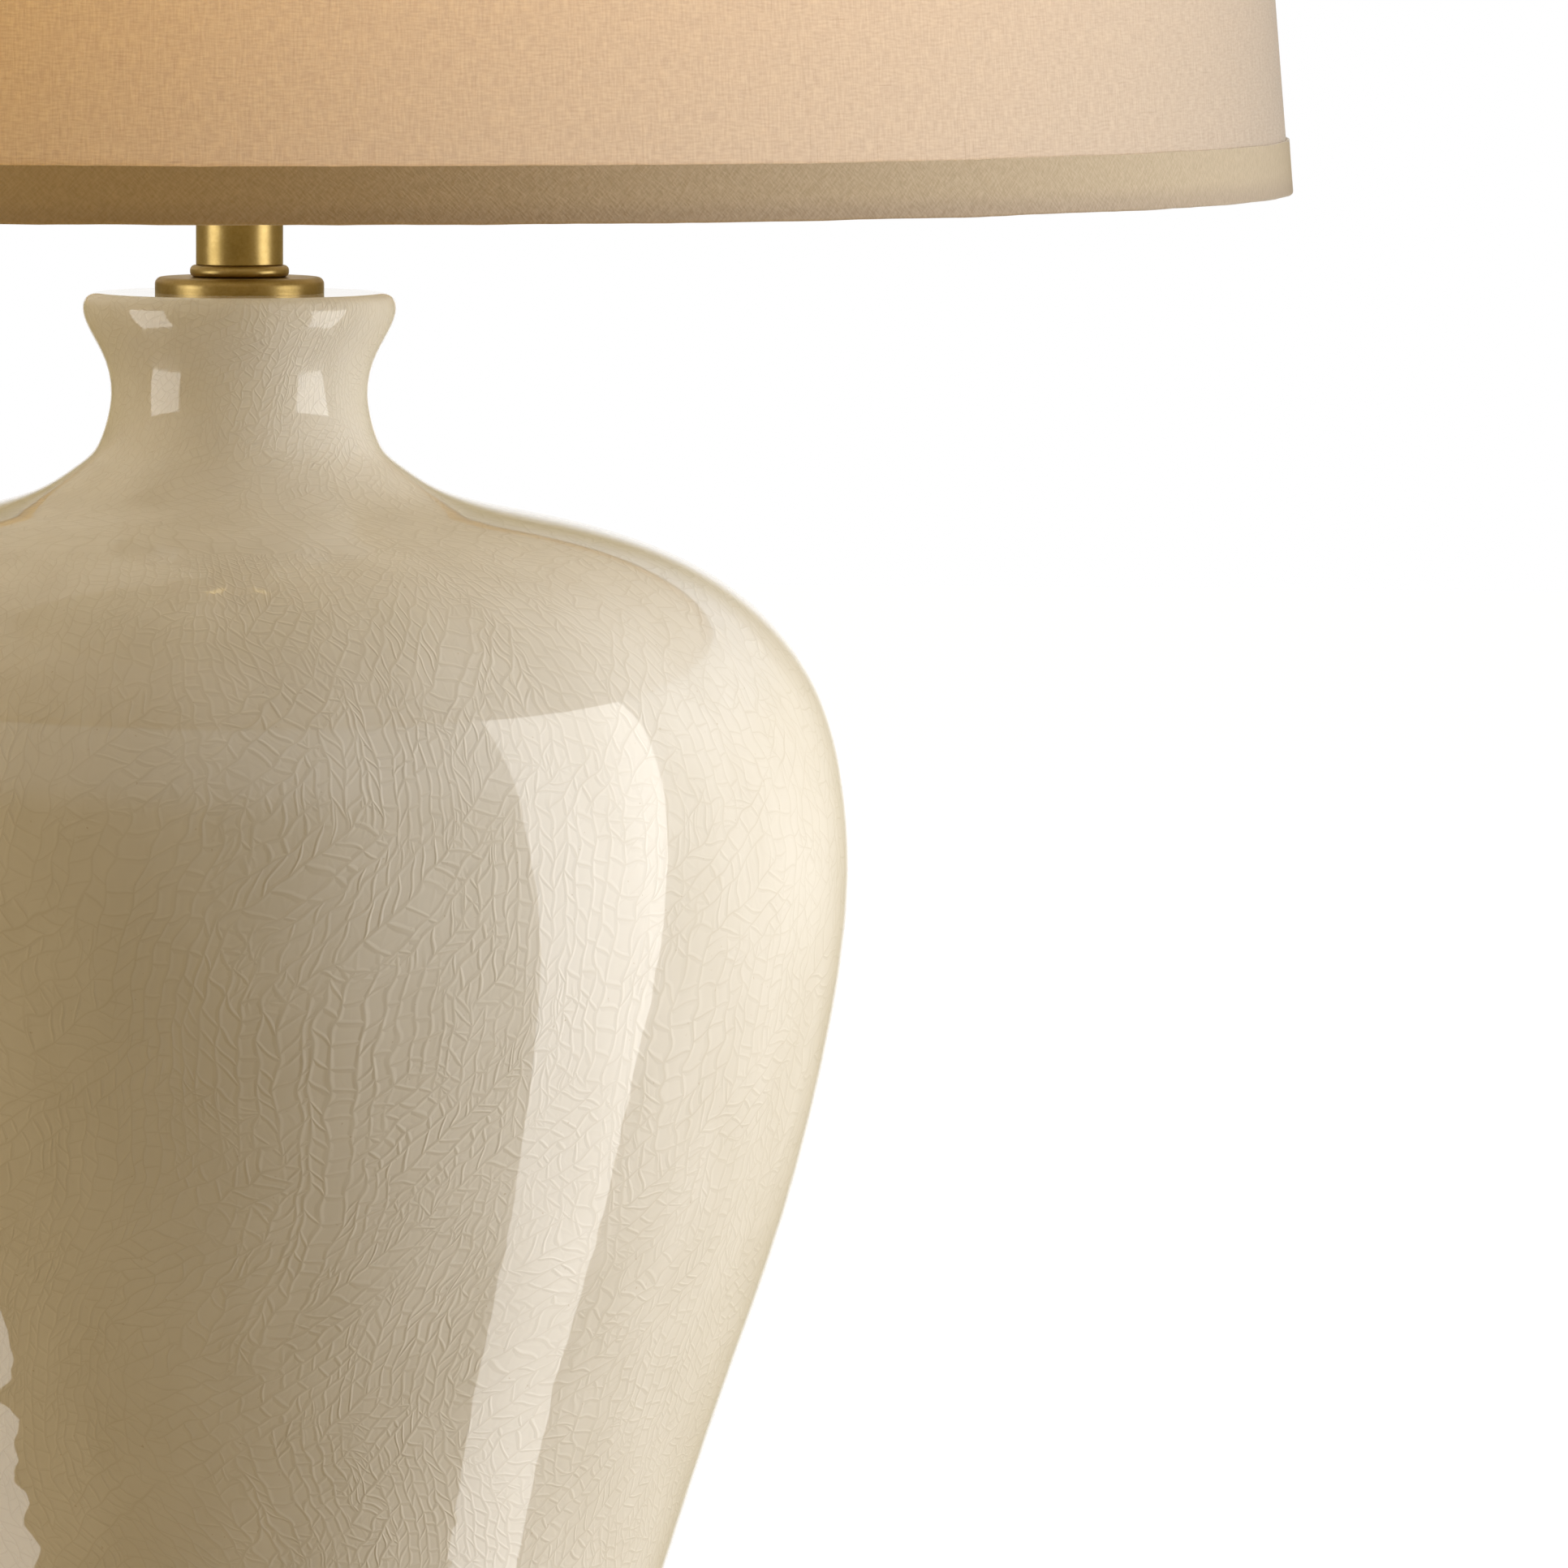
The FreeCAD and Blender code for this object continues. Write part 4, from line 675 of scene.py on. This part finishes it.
def turned(name, line, shape):
    """A solid of revolution of a closed line. shape gives each point's radius and height anew."""
    vertices = []
    for i in range(TURN_SIDES):
        angle = FULL_TURN * i / TURN_SIDES
        for point in line:
            radius, height = shape(point[0], point[1], angle)
            vertices.append((radius * math.sin(angle), -radius * math.cos(angle), height))
    count = len(line)
    faces = []
    for i in range(TURN_SIDES):
        here, there = i * count, (i + 1) % TURN_SIDES * count
        for k in range(count):
            m = (k + 1) % count
            faces.append((here + k, here + m, there + m, there + k))
    mesh = bpy.data.meshes.new(name)
    mesh.from_pydata(vertices, [], faces)
    area = sum(a[0] * b[1] - b[0] * a[1] for a, b in zip(line, line[1:] + line[:1]))
    if area > 0:
        mesh.flip_normals()
    mesh.shade_smooth()
    mesh.set_sharp_from_angle(angle=SHARP_EDGE)
    mesh.validate()
    piece = bpy.data.objects.new(name, mesh)
    bpy.context.scene.collection.objects.link(piece)
    return piece


def mark_arc(piece, line):
    """Gives each point its distance along the outline, with each step divided by the radius there.

    The crazing scales it as it scales the angle round the axis, so its cells keep their shape.
    """
    arcs = [0.0]
    for here, there in zip(line, line[1:]):
        arcs.append(arcs[-1] + (there - here).length / max(0.5 * (here.x + there.x), LEAST_RADIUS))
    attribute = piece.data.attributes.new("arc", "FLOAT", "POINT")
    attribute.data.foreach_set("value", arcs * (len(piece.data.vertices) // len(line)))


def stand_for(piece, node, look, body):
    """piece takes the place of a CAD node: it gets its slot's look and its body, and the node is hidden."""
    dress(piece, look)
    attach(piece, body)
    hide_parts(node)
    return piece


def round_place(angle, height, around, upwards):
    """A place in the noise that comes back to itself once round the axis."""
    return Vector((math.sin(angle) * around, -math.cos(angle) * around, height * upwards))


def past(distance, fade):
    """0 up to an edge, and 1 from this fade past it."""
    return min(1.0, max(0.0, distance / fade))


def thrown(radius, height, angle):
    """A hand-thrown wall is never quite round: slow swells, and the faint ridges of the thrower's fingers."""
    point = round_place(angle, height, 1.0, THROWN_RISE)
    swell = noise.noise(point * THROWN_WAVES) * THROWN_SWELL
    ridges = noise.noise(Vector((*RIDGES_IN_NOISE, height * RIDGES_PER_METRE))) * THROWN_RIDGES
    share = past(height - FOOT_TRUE_TO, FOOT_FADE) * past(LIP_TRUE_FROM - height, LIP_FADE)
    return radius + (swell + ridges) * share, height


def pulled(radius, height, angle):
    """Cloth drawn over two rings: very slightly uneven round its edge."""
    return radius + noise.noise(round_place(angle, height, *CLOTH_WAVES)) * CLOTH_SWELL, height


def folded(radius, height, angle):
    """Tape folded by hand: its free edge and its fold wander a little."""
    wander = (noise.noise(round_place(angle, height, *TAPE_WANDER_WAVES)) * TAPE_WANDER
              + noise.noise(round_place(angle, height, *TAPE_FRAY_WAVES)) * TAPE_FRAY)
    return radius + wander * TAPE_SIDEWAYS, height + wander


def make_pieces(looks):
    """The pieces that stand for a CAD part with a finer shape of their own."""
    outline = smoothed(outline_of("ceramic_body"))
    vase = turned("ceramic_vase", outline, thrown)
    mark_arc(vase, outline)
    stand_for(vase, "ceramic_body", looks["glaze"], "lamp_body")
    cover = turned("linen_cover", smoothed(outline_of("shade_fabric")), pulled)
    stand_for(cover, "shade_fabric", looks["linen"], "shade")
    for node in ("shade_trim_bottom", "shade_trim_top"):
        tape = turned(node.replace("shade_trim", "tape"), smoothed(outline_of(node)), folded)
        stand_for(tape, node, looks["trim_tape"], "shade")


def dress_nodes(looks):
    """Every CAD part keeps its shape and gets its slot's look."""
    for name, node in frame["nodes"].items():
        if not node.hide_render:
            dress(node, looks[slot_of(name)])


# Camera, floor and light


def make_camera():
    """The photograph's camera, with its slight roll."""
    forward = (CAMERA_LOOKS_AT - CAMERA_AT).normalized()
    right = forward.cross(Vector((0, 0, 1))).normalized()
    up = right.cross(forward)
    tilted_right = right * math.cos(CAMERA_ROLL) + up * math.sin(CAMERA_ROLL)
    tilted_up = up * math.cos(CAMERA_ROLL) - right * math.sin(CAMERA_ROLL)
    data = bpy.data.cameras.new("camera")
    data.lens = CAMERA_LENS_MM
    data.sensor_width = CAMERA_SENSOR_MM
    data.clip_end = CAMERA_SEES_TO
    camera = bpy.data.objects.new("camera", data)
    turn = Matrix((tilted_right, tilted_up, -forward)).transposed().to_4x4()
    camera.matrix_world = Matrix.Translation(CAMERA_AT) @ turn
    bpy.context.scene.collection.objects.link(camera)
    bpy.context.scene.camera = camera


def make_world():
    """The dim warm room that lights the lamp from all round. The camera sees plain white."""
    world = bpy.data.worlds.new("studio")
    world.use_nodes = True
    bpy.context.scene.world = world
    graph = Graph(world.node_tree)
    seen = graph.add("LightPath", output="Is Camera Ray")
    graph.feed(world.node_tree.nodes["Background"].inputs["Color"], graph.blend(seen, ROOM, WHITE))


def room_light(look):
    """The reflected room's light: a dim horizon, a pale ceiling and, behind the lamp, a white backdrop."""
    x, y, z = look.split(look.add("VectorMath", {0: look.place()}, operation="NORMALIZE"))
    away = look.round_from_front(look.math("ABSOLUTE", x), y)
    up = look.math("ARCSINE", z)
    ceiling = look.blend(look.ramp(away, *CEILING_DIMS), CEILING, CEILING_BEHIND)
    overhead = look.times(look.ramp(up, *CEILING_BEGINS), look.ramp(up, *CEILING_ENDS, 1.0, 0.0))
    light = look.blend(overhead, REFLECTED_ROOM, ceiling)
    behind = look.times(look.ramp(away, *BACKDROP_BEGINS), look.ramp(up, *BACKDROP_ENDS, 1.0, 0.0))
    return look.blend(behind, light, BACKDROP)


def make_reflected_room():
    """A dome round the lamp that shows in polished surfaces alone."""
    mesh = bpy.data.meshes.new("reflected_room")
    shape = bmesh.new()
    bmesh.ops.create_uvsphere(shape, u_segments=ROOM_SEGMENTS, v_segments=ROOM_RINGS, radius=ROOM_RADIUS)
    shape.to_mesh(mesh)
    shape.free()
    room = bpy.data.objects.new("reflected_room", mesh)
    bpy.context.scene.collection.objects.link(room)
    look = Look("reflected_room")
    look.surface(look.add("Emission", {"Color": room_light(look), "Strength": 1.0}))
    look.material.cycles.emission_sampling = "NONE"
    mesh.materials.append(look.material)
    room.visible_camera = False
    room.visible_diffuse = False
    room.visible_transmission = False
    room.visible_shadow = False


def make_floor():
    """A pale floor. To the camera it is nearly as white as the backdrop, and from below it can't be seen."""
    mesh = bpy.data.meshes.new("floor")
    turns = [FULL_TURN * i / FLOOR_SIDES for i in range(FLOOR_SIDES)]
    mesh.from_pydata([(FLOOR_RADIUS * math.cos(a), FLOOR_RADIUS * math.sin(a), 0.0) for a in turns], [],
                     [tuple(range(FLOOR_SIDES))])
    floor = bpy.data.objects.new("floor", mesh)
    bpy.context.scene.collection.objects.link(floor)
    look = Look("floor", Roughness=0.9, Specular_IOR_Level=0.0)
    seen = look.add("LightPath", output="Is Camera Ray")
    look.set("Base Color", look.blend(seen, FLOOR_BOUNCE, FLOOR_SEEN))
    look.set("Emission Color", WHITE)
    look.set("Emission Strength", look.times(seen, FLOOR_GLOW))
    hidden = look.add("BsdfTransparent")
    below = look.add("NewGeometry", output="Backfacing")
    look.surface(look.add("MixShader", {0: below, 1: look.shader.outputs[0], 2: hidden}))
    floor.data.materials.append(look.material)
    floor.visible_glossy = False


def make_softbox(name, side, glow, tint, corners, faces=SOFTBOX_FACES):
    """A tall diffuser that the camera doesn't see. side is 1 on the lamp's right, and -1 on its left."""
    towards = Vector((math.sin(faces) * side, -math.cos(faces), 0))
    along = Vector((math.cos(faces) * side, math.sin(faces), 0))
    mesh = bpy.data.meshes.new(name)
    mesh.from_pydata([towards * SOFTBOX_DISTANCE + along * a + Vector((0, 0, h)) for a, h in corners], [],
                     [tuple(range(len(corners)))])
    panel = bpy.data.objects.new(name, mesh)
    bpy.context.scene.collection.objects.link(panel)
    look = Look(name)
    look.surface(look.add("Emission", {"Color": rgb(*tint), "Strength": glow}))
    mesh.materials.append(look.material)
    panel.visible_camera = False
    panel.visible_shadow = False
    return panel


def add_glow(name, kind, watts, tint, receivers, facing=None):
    """Light inside the shade, on one group of pieces alone. Only the finial may shadow it."""
    data = bpy.data.lights.new(name, kind)
    data.energy = watts
    data.color = tint
    if kind == "AREA":
        data.shape = "DISK"
        data.size = GLOW_RADIUS * 2
    else:
        data.shadow_soft_size = GLOW_RADIUS
    light = bpy.data.objects.new(name, data)
    light.location = SHADE_MIDDLE
    if facing is not None:
        light.rotation_euler = Vector(facing).to_track_quat("-Z", "Y").to_euler()
    light.visible_camera = False
    light.visible_glossy = False
    bpy.context.scene.collection.objects.link(light)
    light.light_linking.receiver_collection = bpy.data.collections[receivers]
    light.light_linking.blocker_collection = bpy.data.collections["out_of_the_way"]


def group(name, members):
    """A named group of pieces, for lights to be linked to."""
    collection = bpy.data.collections.new(name)
    for member in members:
        collection.objects.link(bpy.data.objects[member])


def make_diffusers():
    """Two softboxes that polished surfaces show, and a fill and two keys that light dull ones.

    The cloth has a key of its own, nearer to the camera's side.
    """
    make_softbox("softbox_right", 1, SOFTBOX_GLOW, SOFTBOX_TINT, SOFTBOX_RIGHT).visible_diffuse = False
    make_softbox("softbox_left", -1, SOFTBOX_GLOW, SOFTBOX_TINT, SOFTBOX_LEFT).visible_diffuse = False
    make_softbox("fill_left", -1, FILL_GLOW, FILL_TINT, FILL).visible_glossy = False
    cloth = ("linen_cover", "shade_seam")
    group("cloth", cloth)
    meshes = [thing.name for thing in bpy.data.objects if thing.type == "MESH"]
    group("not_cloth", [name for name in meshes if name not in cloth])
    shade_key = make_softbox("shade_key", 1, SHADE_KEY_GLOW, SOFTBOX_TINT, KEY, SHADE_KEY_FACES)
    key = make_softbox("key_right", 1, KEY_GLOW, SOFTBOX_TINT, KEY)
    for panel, receivers in ((shade_key, "cloth"), (key, "not_cloth")):
        panel.visible_glossy = False
        panel.light_linking.receiver_collection = bpy.data.collections[receivers]


def make_glows():
    """The bulb's light on the shade: on its cloth all round, in front and behind, and on its lining."""
    group("shade_outside", ("linen_cover", "tape_bottom", "tape_top", "shade_seam"))
    group("shade_inside", ("shade_liner",))
    group("out_of_the_way", ("finial",))
    add_glow("glow_all_round", "POINT", GLOW_ALL_ROUND_WATTS, GLOW_TINT, "shade_outside")
    add_glow("glow_forward", "AREA", GLOW_FORWARD_WATTS, GLOW_TINT, "shade_outside", (0, -1, 0))
    add_glow("glow_backward", "AREA", GLOW_FORWARD_WATTS, GLOW_TINT, "shade_outside", (0, 1, 0))
    add_glow("glow_inside", "POINT", INNER_WATTS, INNER_TINT, "shade_inside")


bpy.context.scene.view_settings.view_transform = "Standard"
LOOKS = make_looks()
make_pieces(LOOKS)
dress_nodes(LOOKS)
make_camera()
make_world()
make_reflected_room()
make_floor()
make_diffusers()
make_glows()
